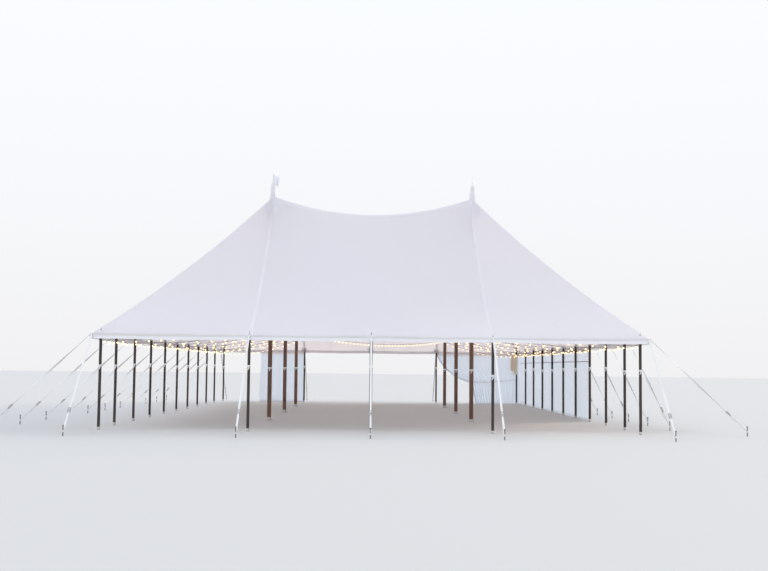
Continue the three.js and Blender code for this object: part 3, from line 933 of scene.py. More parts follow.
def roof_section(first, last):
    """The grid of one section, from one grid line across the tent to another."""
    bm = bmesh.new()
    faces = mapped_grid(
        bm, len(xs) - 1, last - first,
        lambda i, j: (xs[i], ys[first + j], heights[first + j, i] + CLOTH_LIFT),
        lambda i, j: (xs[i], ys[first + j]),
    )
    hipwards, crosswise = [], []
    for face in faces:
        centre = face.calc_center_median()
        (hipwards if centre.x * centre.y > 0 else crosswise).append(face)
    bmesh.ops.triangulate(bm, faces=hipwards, quad_method="FIXED")
    bmesh.ops.triangulate(bm, faces=crosswise, quad_method="ALTERNATE")
    return bm


def solid(piece, thickness, offset=1):
    """Gives a sheet its thickness with a live modifier."""
    modifier = piece.modifiers.new("thickness", "SOLIDIFY")
    modifier.thickness = thickness
    modifier.offset = offset
    return piece


def area_of(piece):
    return sum(face.area for face in piece.data.polygons)


def flat_size(first, last):
    """The section's widest run across and longest run along, measured on the cloth."""
    grid = heights[first:last + 1]
    across = np.hypot(np.diff(xs)[None], np.diff(grid, axis=1)).sum(axis=1).max()
    along = np.hypot(np.diff(ys[first:last + 1])[:, None], np.diff(grid, axis=0)).sum(axis=0).max()
    return float(across), float(along)


roof_sheets = {}
for k, name in enumerate(("front", "mid_front", "mid_back", "back")):
    first, last = k * CELLS, (k + 1) * CELLS
    sheet = as_piece(roof_section(first, last), f"roof_cloth_{name}", [sailcloth], "sailcloth")
    print("flat", [round(v, 2) for v in flat_size(first, last)], "area", round(area_of(sheet), 1))
    solid(sheet, CLOTH)
    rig.replaces(sheet, f"roof_{name}")
    roof_sheets[name] = (sheet, flat_size(first, last))

# %% [markdown]
# Webbing and seams lie on the cloth as ribbons. A ribbon follows a line in the plan and asks for the
# surface at its two edges and its middle, so it bends over a hip and hugs a fold. Its map holds the
# distance from the nearer edge, which is where the stitching effect puts its thread. The line is cut
# wherever it crosses the roof's grid, so ribbon and cloth turn at the same places. Its first cell
# tells which way the faces point, and they are turned round if its upper side faces the lower one.

# %% Ribbons


def on_roof(x, y, lift):
    """A point that far above the cloth's underside, square to the cloth."""
    step = 0.02
    slope_x = (roof_height(x + step, y) - roof_height(x - step, y)) / (2 * step)
    slope_y = (roof_height(x, y + step) - roof_height(x, y - step)) / (2 * step)
    normal = Vector((-slope_x, -slope_y, 1)).normalized()
    return Vector((x, y, roof_height(x, y))) + lift * normal


def crossings(start, end):
    """Points from start to end, with one at each of the roof's grid lines on the way."""
    axis = 0 if abs(end[0] - start[0]) > abs(end[1] - start[1]) else 1
    on_way = [(line - start[axis]) / (end[axis] - start[axis]) for line in (xs, ys)[axis]]
    shares = [0, *sorted(t for t in on_way if 1e-3 < t < 1 - 1e-3), 1]
    return [Vector(start).lerp(Vector(end), float(t)) for t in shares]


def even_steps(start, end, step):
    count = max(1, math.ceil((Vector(end) - Vector(start)).length / step))
    return [Vector(start).lerp(Vector(end), k / count) for k in range(count + 1)]


def ribbon(bm, surface, centres, width, low, high, finish=0):
    """A closed flat strip on a surface, between two heights above it."""
    sideways = (centres[-1] - centres[0]).xy.orthogonal().normalized()
    half = width / 2
    section = [
        (-half, high, 0.0), (0, high, half), (half, high, 0.0), (half, low, 0.0),
        (-half, low, width), (-half, high, 0.0),
    ]
    spine = [surface(*centre, high) for centre in centres]
    reached = list(accumulate(((b - a).length for a, b in zip(spine, spine[1:])), initial=0.0))

    def place(s, k):
        spot = centres[k] + section[s][0] * sideways
        return surface(*spot, section[s][1])

    faces = mapped_grid(
        bm, len(section) - 1, len(centres) - 1, place,
        lambda s, k: (section[s][2], reached[k]), finish, joined=True, capped=True,
    )
    first_cell, upwards = (place(0, 0) + place(1, 1)) / 2, place(0, 0) - place(4, 0)
    upper = min(faces, key=lambda face: (face.calc_center_median() - first_cell).length)
    upper.normal_update()
    if upper.normal.dot(upwards) < 0:
        bmesh.ops.reverse_faces(bm, faces=faces)


# %% [markdown]
# The sections are sewn from cloth 1.22 metres wide. On the end slopes the panels run up to the
# masts, and on the sides they run across the tent, so the seams meet in a herringbone along each
# hip. A seam ends where it reaches the hip, which is a straight line from the mast to the corner.

# %% Seams and bands
PANEL, SEAM_WIDTH, BAND_WIDTH, FLAP_WIDTH, TAB_WIDTH = 1.22, 0.025, 0.10, 0.24, 0.025
CLEAR_OF_MAST, CLEAR_OF_EDGE, PAST_HIP = 0.12, 0.004, 0.05
# The sewn layers lie on the cloth like cards. Each has its own two heights above the underside.
LAYERS = {
    "seam": (0.0042, 0.0056), "band": (0.0058, 0.0078), "flap": (0.0080, 0.0100),
    "pole patch": (0.0082, 0.0102), "tab": (0.0102, 0.0118), "mast patch": (0.0104, 0.0126),
}
SIDE_EDGE, END_EDGE = WIDTH / 2 - CLEAR_OF_EDGE, LENGTH / 2 - CLEAR_OF_EDGE


def hip_y(x):
    """How far along the tent a seam at x starts on the end slope."""
    return MAST_Y + max(0.0, (abs(x) - MAST_X) / (WIDTH / 2 - MAST_X)) * (LENGTH / 2 - MAST_Y)


def hip_x(y):
    """How far across the tent a seam at y starts on the side slope."""
    return MAST_X + (abs(y) - MAST_Y) / (LENGTH / 2 - MAST_Y) * (WIDTH / 2 - MAST_X)


def sewn_on(bm, start, end, width, layer):
    """A straight ribbon on the roof, in one of its layers."""
    ribbon(bm, on_roof, crossings(start, end), width, *LAYERS[layer])


seams = bmesh.new()
for k in range(-5, 7):
    x = (k - 0.5) * PANEL
    if abs(abs(x) - MAST_X) > 0.05:
        for end in (-1, 1):
            top, foot = (x, end * (hip_y(x) + PAST_HIP)), (x, end * END_EDGE)
            sewn_on(seams, top, foot, SEAM_WIDTH, "seam")
for k in range(-9, 11):
    y = (k - 0.5) * PANEL
    if abs(y) < MAST_Y:
        sewn_on(seams, (-SIDE_EDGE, y), (SIDE_EDGE, y), SEAM_WIDTH, "seam")
    else:
        for side in (-1, 1):
            top, foot = (side * (hip_x(y) + PAST_HIP), y), (side * SIDE_EDGE, y)
            sewn_on(seams, top, foot, SEAM_WIDTH, "seam")
as_piece(seams, "roof_seams", [sewn_cloth], "sailcloth")

bands = bmesh.new()
for mast in (middle(name) for name in mast_names if "mid" not in name):
    side, end = math.copysign(1, mast.x), math.copysign(1, mast.y)
    top, foot = (mast.x, mast.y + end * CLEAR_OF_MAST), (mast.x, end * END_EDGE)
    sewn_on(bands, top, foot, BAND_WIDTH, "band")
    corner = Vector((side * (WIDTH / 2 - 0.01), end * (LENGTH / 2 - 0.01)))
    top = mast.xy + (corner - mast.xy).normalized() * CLEAR_OF_MAST
    sewn_on(bands, top, corner, BAND_WIDTH, "band")
for x in (-MAST_X, MAST_X):
    for y in (-MAST_Y, 0):
        start, end = (x, y + CLEAR_OF_MAST), (x, y + MAST_Y - CLEAR_OF_MAST)
        sewn_on(bands, start, end, BAND_WIDTH, "band")
as_piece(bands, "roof_bands", [sewn_cloth], "sailcloth")

# %% [markdown]
# Where two sections meet, a long flap covers the lacing, and small tabs hold it down on both sides.
# A round patch strengthens the cloth at each mast, a square one at each side pole, and there a steel
# grommet takes the pole's pin.

# %% Joints, patches and grommets
TAB_REACH, TAB_SPACING = 0.16, 0.6
flaps = bmesh.new()
for y in (-MAST_Y, 0.0, MAST_Y):
    inner, outer = MAST_X - CLEAR_OF_MAST, MAST_X + CLEAR_OF_MAST
    for start, end in ((-SIDE_EDGE, -outer), (-inner, inner), (outer, SIDE_EDGE)):
        sewn_on(flaps, (start, y), (end, y), FLAP_WIDTH, "flap")
    for k in range(-11, 12):
        x = TAB_SPACING * k
        if abs(abs(x) - MAST_X) > 0.3:
            tab = even_steps((x, y - TAB_REACH), (x, y + TAB_REACH), 0.08)
            ribbon(flaps, on_roof, tab, TAB_WIDTH, *LAYERS["tab"])
as_piece(flaps, "roof_joint_flaps", [sewn_cloth], "sailcloth")


def round_patch(bm, centre, inner, outer, low, high, rings=9, steps=48):
    """A closed ring of cloth on the roof, with its map measured from its outer edge."""
    radii = [inner + (outer - inner) * k / rings for k in range(rings + 1)]
    profile = [(r, high) for r in radii] + [(r, low) for r in reversed(radii)] + [(inner, high)]

    def place(s, p):
        turn, (radius, lift) = TAU * s / steps, profile[p]
        spot = centre.xy + radius * Vector((math.cos(turn), math.sin(turn)))
        return on_roof(*spot, lift)

    def chart(s, p):
        return outer - profile[p][0], TAU * outer * s / steps

    mapped_grid(bm, steps, len(profile) - 1, place, chart, joined=True)


MAST_PATCH = (0.09, 0.34)
patches = bmesh.new()
for name in mast_names:
    round_patch(patches, middle(name), *MAST_PATCH, *LAYERS["mast patch"])
for name in pole_names:
    pole, (_, group, _) = middle(name), name.split("_")
    direction = {"corner": (1, 1.5), "front": (0, 1), "back": (0, 1)}.get(group, (1, 0))
    outer, width = (0.13, 0.16) if group == "corner" else (0.112, 0.26)
    inwards = Vector([-math.copysign(d, p) for d, p in zip(direction, pole.xy)]).normalized()
    line = even_steps(pole.xy - outer * inwards, pole.xy + 0.20 * inwards, 0.04)
    ribbon(patches, on_roof, line, width, *LAYERS["pole patch"])
as_piece(patches, "roof_patches", [sewn_cloth], "sailcloth")

grommets = bmesh.new()
hoop = [
    (0.019 + 0.006 * math.cos(a), 0.0045 * math.sin(a)) for a in (TAU * k / 10 for k in range(11))
]
for name in pole_names:
    pole = middle(name)
    level = roof_height(pole.x, pole.y) + 0.0135
    turned(grommets, hoop, (pole.x, pole.y, level), steps=20)
    hole = PIN_RADIUS + 0.001
    washer = [(hole, 0.005), (0.0165, 0.005), (0.0165, 0.009), (hole, 0.009), (hole, 0.005)]
    turned(grommets, washer, (pole.x, pole.y, level), steps=20)
as_piece(grommets, "grommets", [steel])

# %% [markdown]
# The hem is a doubled strip that hangs from the edge of the roof and catches the light. Its lower
# edge dips a little between the poles and curls in and out by a few millimetres.

# %% Hem
HEM_HEIGHT, HEM_CLOTH, CURL = 0.10, 0.003, 0.003


def edge_surface(axis, sign, out, up, curl=0.0):
    """The surface along one side's edge: a place along it and a depth below the roof."""

    def surface(along, depth, lift):
        wave = curl * depth / HEM_HEIGHT * math.sin(2.9 * along) * math.sin(1.3 * along + sign)
        far = sign * ((LENGTH, WIDTH)[axis] / 2 + out + lift + wave)
        x, y = (far, along) if axis else (along, far)
        return Vector((x, y, roof_height(x, y) + up - depth))

    return surface


def edge_line(axis, depth):
    """The whole length of an edge, at a depth below the roof."""
    half = (WIDTH, LENGTH)[axis] / 2
    return [Vector((t, depth)) for t in np.linspace(-half, half, round(half / 0.06))]


hem = bmesh.new()
for axis in (0, 1):
    for sign in (-1, 1):
        surface = edge_surface(axis, sign, -HEM_CLOTH, 2 * HEM_CLOTH, CURL)
        ribbon(hem, surface, edge_line(axis, HEM_HEIGHT / 2), HEM_HEIGHT, 0.0, HEM_CLOTH)
as_piece(hem, "roof_hem", [hem_cloth], "sailcloth")

# %% [markdown]
# The masts are round timber on steel foot plates, each with a band of white webbing at shoulder
# height. They are spun from a profile with eased edges. The plate is fixed by four bolts and holds
# the timber in a short steel socket.

# %% Masts
BAND_HEIGHT, MAST_BAND_LEVEL, MAST_FOOT = 0.05, 1.57, 0.010
PLATE_RADIUS, PLATE_TOP, SOCKET_RADIUS, SOCKET_TOP = 0.130, 0.012, 0.0705, 0.090
BOLTS, BOLT_CIRCLE, BOLT_RADIUS, BOLT_TOP = 4, 0.103, 0.011, 0.021


def easing(radius, height, ease):
    """The three points of a rounded edge at the top of a turned piece."""
    shares = ((0, 1), (0.3, 0.3), (1, 0))
    return [(radius - inset * ease, height - drop * ease) for inset, drop in shares]


def tied_band(bm, centre, radius, height, finish):
    """A webbing band round a pole, with its knot and two tails at the front."""
    low, high = height - BAND_HEIGHT / 2, height + BAND_HEIGHT / 2
    outer = radius + 0.0025
    turned(bm, [(radius, low), (outer, low), (outer, high), (radius, high)], centre, 32, finish)
    knot = centre + Vector((0, -outer, height))
    block(bm, (0.034, 0.012, 0.044), knot, 0.004, finish)
    for lean, tail, out in ((-0.16, 0.10, 0.001), (0.13, 0.07, 0.0035)):
        ribbon(
            bm, lambda x, y, lift: knot + Vector((lean * y + x, -out - lift, -y)),
            even_steps((0, 0), (0, tail), 0.02), 0.022, 0.0, 0.002, finish,
        )


mast_plate = [
    (0, 0), (PLATE_RADIUS - 0.002, 0), (PLATE_RADIUS, 0.002), (PLATE_RADIUS, PLATE_TOP - 0.002),
    (PLATE_RADIUS - 0.002, PLATE_TOP), (SOCKET_RADIUS, PLATE_TOP),
    (SOCKET_RADIUS, SOCKET_TOP - 0.002), (SOCKET_RADIUS - 0.0015, SOCKET_TOP),
    (MAST_RADIUS + 0.0005, SOCKET_TOP), (MAST_RADIUS + 0.0005, MAST_FOOT), (0, MAST_FOOT),
]
bolt = [
    (BOLT_RADIUS, PLATE_TOP - 0.0005), (BOLT_RADIUS, BOLT_TOP - 0.002),
    (BOLT_RADIUS - 0.002, BOLT_TOP), (0, BOLT_TOP),
]
for name in mast_names:
    centre, top = middle(name), top_of(name)
    mast = bmesh.new()
    timber = [(0, MAST_FOOT), (MAST_RADIUS - 0.001, MAST_FOOT), *easing(MAST_RADIUS, top, 0.012)]
    turned(mast, [*timber, (0, top)], centre, 48, 0)
    tied_band(mast, centre, MAST_RADIUS, MAST_BAND_LEVEL, 1)
    turned(mast, mast_plate, centre, 48, 2)
    for k in range(BOLTS):
        turn = TAU * (k + 0.5) / BOLTS
        spot = centre + BOLT_CIRCLE * Vector((math.cos(turn), math.sin(turn), 0))
        turned(mast, bolt, spot, 6, 2)
    piece = as_piece(mast, f"{name}_timber", [mast_wood, webbing, steel], "mast_wood")
    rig.replaces(piece, name)

# %% [markdown]
# Above the cloth each mast wears a white sleeve that keeps the rain out. A rope grips it round the
# mast head, and its fluted skirt follows the cloth down. A thin spire stands on it with a small flag,
# which hangs limp in the still air: its free end droops, and folds deepen towards its lower edge.

# %% Mast caps
SPIRE, ROPE_HEIGHT = 0.28, 0.270
SKIRT = [(0.130, 0.004), (0.112, 0.004), (0.098, 0.003)]
SLEEVE = [
    (0.086, 0.045, 0.003), (0.080, 0.11, 0.002), (0.0765, 0.18, 0.001), (0.073, 0.262, 0.0),
    (0.070, ROPE_HEIGHT, 0.0), (0.073, 0.278, 0.001), (0.066, 0.35, 0.002), (0.056, 0.42, 0.001),
    (0.050, 0.432, 0.0), (0.012, 0.434, 0.0), (0.0, 0.434, 0.0),
]
SKIRT_LIFT, FLUTES, ROPE_RADIUS = 0.0135, 11, 0.005
FLAG_START, FLAG_REACH, FLAG_DROP, FLAG_RIPPLE = 0.008, 0.21, 0.30, 0.024


def sleeve(bm, centre, base, steps=64):
    """Rings of (radius, height, flute) from the skirt's edge up to the closed top."""
    outline = [(radius, None, flute) for radius, flute in SKIRT] + SLEEVE

    def place(s, row):
        radius, height, flute = outline[row]
        turn = TAU * s / steps
        wave = math.cos(FLUTES * turn)
        spot = centre.xy + (radius + flute * wave) * Vector((math.cos(turn), math.sin(turn)))
        if height is None:
            return on_roof(*spot, SKIRT_LIFT + 0.6 * flute * (1 + wave))
        return Vector((*spot, base + height))

    def chart(s, row):
        return 0.5 * s / steps, 0.05 * row

    mapped_grid(bm, steps, len(outline) - 1, place, chart, joined=True)


def flag(bm, centre, top, heading, phase, across=18, down=10):
    """A limp flag that hangs from the spire."""
    aside = Vector((-heading.y, heading.x, 0))

    def place(i, j):
        u, v = i / across, j / down
        out = FLAG_START + (FLAG_REACH - FLAG_START) * u * (1 - 0.25 * v)
        slack = (0.25 + 0.75 * v) * min(1, 4 * u)
        ripple = FLAG_RIPPLE * slack * math.sin(3 * math.pi * u + phase)
        level = top - FLAG_DROP * v - 0.11 * u ** 1.4 * (1 - 0.35 * v)
        return Vector((centre.x, centre.y, level)) + out * heading + ripple * aside

    mapped_grid(bm, across, down, place, lambda i, j: (0.02 * i, 0.03 * j))


rope = [
    (0.073 + ROPE_RADIUS * math.cos(a), ROPE_HEIGHT + ROPE_RADIUS * math.sin(a))
    for a in (TAU * k / 8 for k in range(9))
]
for k, name in enumerate(mast_names):
    cap_name = name.replace("mast_", "mast_cap_")
    low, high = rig.box(cap_name)
    centre, sleeve_top = middle(name), high.z - SPIRE
    cap = bmesh.new()
    sleeve(cap, centre, low.z)
    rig.replaces(as_piece(cap, f"{cap_name}_sleeve", [cap_cloth], "cap_cloth"), cap_name)
    fittings = bmesh.new()
    turned(fittings, rope, centre + Vector((0, 0, low.z)), 40, 1)
    spire = [
        (0, sleeve_top - 0.01), (0.034, sleeve_top - 0.01), (0.034, sleeve_top + 0.004),
        (0.016, sleeve_top + 0.012), (0.011, sleeve_top + 0.06), (0.008, high.z - 0.012),
        (0.005, high.z - 0.003), (0, high.z),
    ]
    turned(fittings, spire, centre, 20, 0)
    as_piece(fittings, f"{cap_name}_spire", [cap_paint, webbing])
    cloth = bmesh.new()
    heading = Vector((1, 0, 0)) if "left" in name else Vector((0, -1, 0))
    flag(cloth, centre, high.z - 0.012, heading, 1.9 * k)
    solid(as_piece(cloth, f"{cap_name}_pennant", [flag_cloth], "cap_cloth"), 0.0008, 0)

# %% [markdown]
# The side poles are slimmer, stained dark, and shod with steel. A pin stands on a steel cap at the
# top of each pole and goes up through the grommet in the cloth. A strip of white webbing is tied
# round each at chest height, not quite at the same level on any two.

# %% Side poles
STEEL, SHOE_TOP, SOLE, FERRULE = 0.0015, 0.076, 0.006, 0.060
GIRTH = POLE_RADIUS - STEEL
rng = random.Random(11)
band_heights = {name: rng.uniform(1.58, 1.68) for name in pole_names}
band_heights["pole_front_1"], band_heights["pole_front_3"] = 1.62, 1.44
shoe = [
    (0, 0), (POLE_RADIUS - 0.004, 0), (POLE_RADIUS, 0.004), (POLE_RADIUS, SHOE_TOP - 0.002),
    (GIRTH, SHOE_TOP), (GIRTH, SOLE), (0, SOLE),
]
for name in pole_names:
    centre, tip = middle(name), top_of(name)
    top = tip - PIN_HEIGHT
    pole = bmesh.new()
    timber = [(0, SOLE), (GIRTH, SOLE), (GIRTH, top - 0.004), (0, top - 0.004)]
    turned(pole, timber, centre, 32, 0)
    tied_band(pole, centre, GIRTH, band_heights[name], 1)
    turned(pole, shoe, centre, 32, 2)
    ferrule = [(GIRTH, top - FERRULE), (POLE_RADIUS, top - FERRULE + 0.002)]
    pin = [(PIN_RADIUS + 0.004, top), (PIN_RADIUS, top + 0.004), *easing(PIN_RADIUS, tip, 0.004)]
    turned(pole, [*ferrule, *easing(POLE_RADIUS, top, 0.004), *pin, (0, tip)], centre, 32, 2)
    piece = as_piece(pole, f"{name}_timber", [pole_wood, webbing, steel], "pole_wood")
    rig.replaces(piece, name)

# %% [markdown]
# Each guy is a white strap from the eave down to a stake. Its lower end passes through a ratchet
# that pulls it tight, and a loop of webbing goes round the stake. On the long sides the straps have
# half a turn in them. A guy is built lying along X and then placed with a matrix whose first column
# runs down the strap. A band of webbing along the eave ties their upper ends together.

# %% Guys and stakes
STRAP_WIDTH, STRAP_LIFT, SEWN_END, STRAP_TAIL = 0.048, 0.0013, 0.24, 0.30
TWIST_FROM, TWIST_CLEAR = 0.26, 0.14
RATCHET_ALONG, LOOP_HEIGHT, STAKE_TOP = 0.8, 0.11, 0.25
RUNS = {"front": 2.4, "back": 2.4, "left": 2.4, "right": 1.1, "corner": 2.4}
OUT = {"front": (0, -1), "back": (0, 1), "left": (-1, 0), "right": (1, 0)}
START_OUT, START_UP, CORNER_STEP = 0.0054, 0.0075, 0.05


def guy_lines(side):
    """The way out on one side of the tent, and the upper and lower end of each of its guys."""
    out = Vector((*OUT[side], 0))
    stops = end_stops if out.y else side_stops
    half = (LENGTH if out.y else WIDTH) / 2
    lines = []
    for stop in stops:
        at_corner = stop in (stops[0], stops[-1])
        place = stop - (math.copysign(CORNER_STEP, stop) if at_corner else 0)
        edge_point = out * half + Vector((place, 0, 0) if out.y else (0, place, 0))
        foot = edge_point + out * (RUNS["corner"] if at_corner else RUNS[side])
        start = edge_point + out * START_OUT
        start.z = roof_height(edge_point.x, edge_point.y) + START_UP
        lines.append((start, foot + Vector((0, 0, LOOP_HEIGHT))))
    return out, lines


def strap_frame(start, end):
    """A matrix at the strap's upper end: X down the strap, Y level across it, Z off its face."""
    along = (end - start).normalized()
    across = Vector((0, 0, 1)).cross(along).normalized()
    matrix = Matrix.Identity(4)
    for column, axis in enumerate((along, across, along.cross(across), start)):
        matrix.col[column][:3] = axis
    return matrix


def strap_pattern(length, turns):
    """A doubled strap with its sewn ends, lying along X, that twists on its way to the ratchet."""
    bm = bmesh.new()
    centre = RATCHET_ALONG * length

    def twisting(x, y, lift):
        share = min(1, max(0, (x - TWIST_FROM) / (centre - TWIST_FROM - TWIST_CLEAR)))
        angle = TAU * turns * share * share * (3 - 2 * share)
        across, off = math.cos(angle), math.sin(angle)
        return Vector((x, y * across - lift * off, y * off + lift * across))

    def flat(x, y, lift):
        return Vector((x, y, lift))

    def hanging(x, y, lift):
        share = (x - centre) / STRAP_TAIL
        sag = 0.055 * math.sin(math.pi * min(1, share * 1.2)) * share
        return Vector((x, y, -0.012 - lift - sag))

    narrower, low, high = STRAP_WIDTH - 0.004, -STRAP_LIFT, STRAP_LIFT
    for surface, start, end, step, width, under, over in (
        (twisting, 0, centre - 0.02, 0.06, STRAP_WIDTH, low, high),
        (flat, 0.01, SEWN_END, 0.05, narrower, 0.0016, 0.0036),
        (flat, centre + 0.02, length, 0.2, STRAP_WIDTH, low, high),
        (hanging, centre, centre + STRAP_TAIL, 0.02, narrower, 0.0, 0.002),
    ):
        ribbon(bm, surface, even_steps((start, 0), (end, 0), step), width, under, over)
    return bm


def ratchet_pattern(length):
    """The ratchet across the strap: side plates, rods, the coil on its spindle, and a handle."""
    bm = bmesh.new()
    centre = RATCHET_ALONG * length
    for side in (-1, 1):
        block(bm, (0.15, 0.0025, 0.030), (centre, side * 0.030, 0.002), 0.0008, 0)
        block(bm, (0.105, 0.0022, 0.022), (centre - 0.015, side * 0.0262, 0.016), 0.0007, 0)
    sideways = Matrix.Rotation(math.pi / 2, 4, "X")
    for along, up, radius, wide, finish in (
        (-0.020, 0.004, 0.0075, 0.066, 0), (0.062, 0.002, 0.005, 0.066, 0),
        (-0.066, 0.018, 0.006, 0.066, 0), (-0.020, 0.004, 0.0145, STRAP_WIDTH, 1),
    ):
        made = bmesh.ops.create_cone(
            bm, cap_ends=True, segments=16, radius1=radius, radius2=radius, depth=wide,
            matrix=Matrix.Translation((centre + along, 0, up)) @ sideways,
        )["verts"]
        for face in {face for vert in made for face in vert.link_faces}:
            face.material_index = finish
    block(bm, (0.012, 0.056, 0.003), (centre + 0.036, 0, 0.024), 0.001, 0)
    return bm


stake_profile = [
    (0, 0.0), (0.0135, 0.0), (0.0135, STAKE_TOP - 0.018), (0.020, STAKE_TOP - 0.015),
    (0.0235, STAKE_TOP - 0.011), (0.0235, STAKE_TOP - 0.004), (0.020, STAKE_TOP - 0.0005),
    (0, STAKE_TOP),
]
loop_profile = [
    (0.0150, -0.022), (0.0175, -0.022), (0.0175, 0.022), (0.0150, 0.022), (0.0150, -0.022),
]
collar = [(radius, height + 0.026) for radius, height in hoop]

for side in OUT:
    out, lines = guy_lines(side)
    straps, hardware = bmesh.new(), bmesh.new()
    for start, end in lines:
        length, place = (end - start).length, strap_frame(start, end)
        set_in(straps, strap_pattern(length, turns=0 if out.y else 0.5), [place])
        set_in(hardware, ratchet_pattern(length), [place])
        turned(hardware, stake_profile, (end.x, end.y, 0), 20, 2)
        turned(hardware, loop_profile, end, 24, 1)
        turned(hardware, collar, end, 20, 0)
    axis = 0 if out.y else 1
    on_eave = edge_surface(axis, out.x + out.y, 0.0, START_UP)
    ribbon(straps, on_eave, edge_line(axis, 0.0), 0.045, 0.0006, 0.0024)
    for start, _ in lines:
        tab = [Vector((start[axis], depth)) for depth in (-0.012, 0.02, 0.05, 0.088)]
        ribbon(straps, on_eave, tab, 0.055, 0.0026, 0.0046)
    piece = as_piece(straps, f"guy_straps_{side}", [webbing], "webbing")
    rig.replaces(piece, f"guys_{side}")
    as_piece(hardware, f"guy_hardware_{side}", [steel, webbing, iron])

# %% [markdown]
# The walls hang from the eave outside the poles. Cloth that hangs free falls in upright folds that
# grow towards the ground. Each wall is a grid whose points are asked for two things: where they hang
# and how far a fold pushes them out. Folds only push outwards, so the cloth stays clear of the poles.
# The seams across the long wall are ribbons on the same surface.

# %% Walls
WALL_THIN, WALL_TOP, WALL_FOOT, WALL_HEIGHT, HEAD_STRIP = 0.001, 2.355, 0.012, 2.35, 0.14
OUTSIDE = POLE_RADIUS + 0.0016
CURTAIN_TOP, CURTAIN_TIE, TIE_HEIGHT, CURTAIN_FOOT, SWING = 3.02, 4.70, 0.95, 4.90, 0.35
PANEL_LEAN = 0.078


def soft_fold(along, height, spacing, depth):
    """How far the cloth stands out: round folds of uneven width that grow towards the ground."""
    down = max(0.0, 1 - height / WALL_TOP)
    phase = TAU * along / spacing + 0.9 * math.sin(TAU * along / (3.7 * spacing)) + 0.5 * down
    slack = 0.25 + 0.75 * down ** 0.8
    crease = 0.0015 * (1 + math.sin(3.1 * phase + 5 * height))
    return depth * slack * (0.5 + 0.5 * math.sin(phase)) + crease


def hung_wall(surface, columns, rows, flat):
    """A wall as a grid: surface(u, z) gives each point, u across and z above the ground.

    The strip along its head is of the roof's cloth.
    """
    bm = bmesh.new()
    faces = mapped_grid(
        bm, columns, rows,
        lambda i, j: surface(i / columns, WALL_FOOT + (WALL_TOP - WALL_FOOT) * j / rows),
        lambda i, j: (i / columns * flat[0], j / rows * flat[1]),
    )
    for face in faces:
        face.material_index = int(face.calc_center_median().z > WALL_TOP - HEAD_STRIP)
    return bm


right_x = max(middle(name).x for name in poles_on["right"]) + OUTSIDE
back_y = middle(poles_on["back"][0]).y + OUTSIDE
right_low, right_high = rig.box("wall_right")
panel_low, panel_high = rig.box("wall_back_left")


def on_right_wall(y, z, lift):
    """The long wall: folds are held flat where a pole stands behind them."""
    bays = (y + LENGTH / 2) / BAY
    to_pole = abs(bays - round(bays)) * BAY
    return Vector((right_x + soft_fold(y, z, 0.46, 0.020) * min(1, 0.3 + to_pole) + lift, y, z))


def free_edge(z):
    """The curtain's free edge, which swings in to the tie and falls straight below it."""
    if z <= TIE_HEIGHT:
        return CURTAIN_TIE + (CURTAIN_FOOT - CURTAIN_TIE) * (1 - z / TIE_HEIGHT)
    bend = (CURTAIN_TOP + SWING, TIE_HEIGHT + SWING)
    square = TIE_HEIGHT - 2 * bend[1] + WALL_TOP
    line, rest = 2 * (bend[1] - TIE_HEIGHT), TIE_HEIGHT - z
    t = (-line + math.sqrt(line * line - 4 * square * rest)) / (2 * square)
    return (1 - t) ** 2 * CURTAIN_TIE + 2 * t * (1 - t) * bend[0] + t * t * CURTAIN_TOP


def on_curtain(x, z, lift):
    """The curtain's folds deepen where it is gathered towards its free edge."""
    edge = free_edge(z)
    gather = max(0.0, (edge - CURTAIN_TOP) / (CURTAIN_TIE - CURTAIN_TOP))
    share = max(0.0, (x - edge) / (right_x - edge))
    wave = soft_fold(8.0 * share ** 0.85, z, 0.44, 0.014 + 0.030 * gather * (1 - share))
    return Vector((x, back_y + wave + lift, z))


def right_surface(u, z):
    y = right_low.y + 0.003 + (right_high.y - right_low.y - 0.006) * u
    return on_right_wall(y, z, 0.0)


def curtain_surface(u, z):
    edge = free_edge(z)
    return on_curtain(edge + (right_x - 0.001 - edge) * u, z, 0.0)


def panel_surface(u, z):
    left = panel_low.x + 0.002 + PANEL_LEAN * z / WALL_TOP
    x = left + (panel_high.x - 0.002 - left) * u
    return Vector((x, back_y + soft_fold(x, z, 0.38, 0.022), z))


wall_plans = {
    "wall_right": (right_surface, 620, 26, right_high.y - right_low.y),
    "wall_back_right": (curtain_surface, 300, 44, 3.95),
    "wall_back_left": (panel_surface, 120, 26, 2.12),
}
walls = {}
for name, (surface, columns, rows, width) in wall_plans.items():
    size = (width, WALL_HEIGHT)
    bm = hung_wall(surface, columns, rows, size)
    wall = as_piece(bm, f"{name}_cloth", [wall_cloth, sailcloth], "wall_cloth")
    print("area", round(area_of(wall), 2))
    walls[name] = (solid(wall, WALL_THIN, 1), size)
    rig.replaces(wall, name)
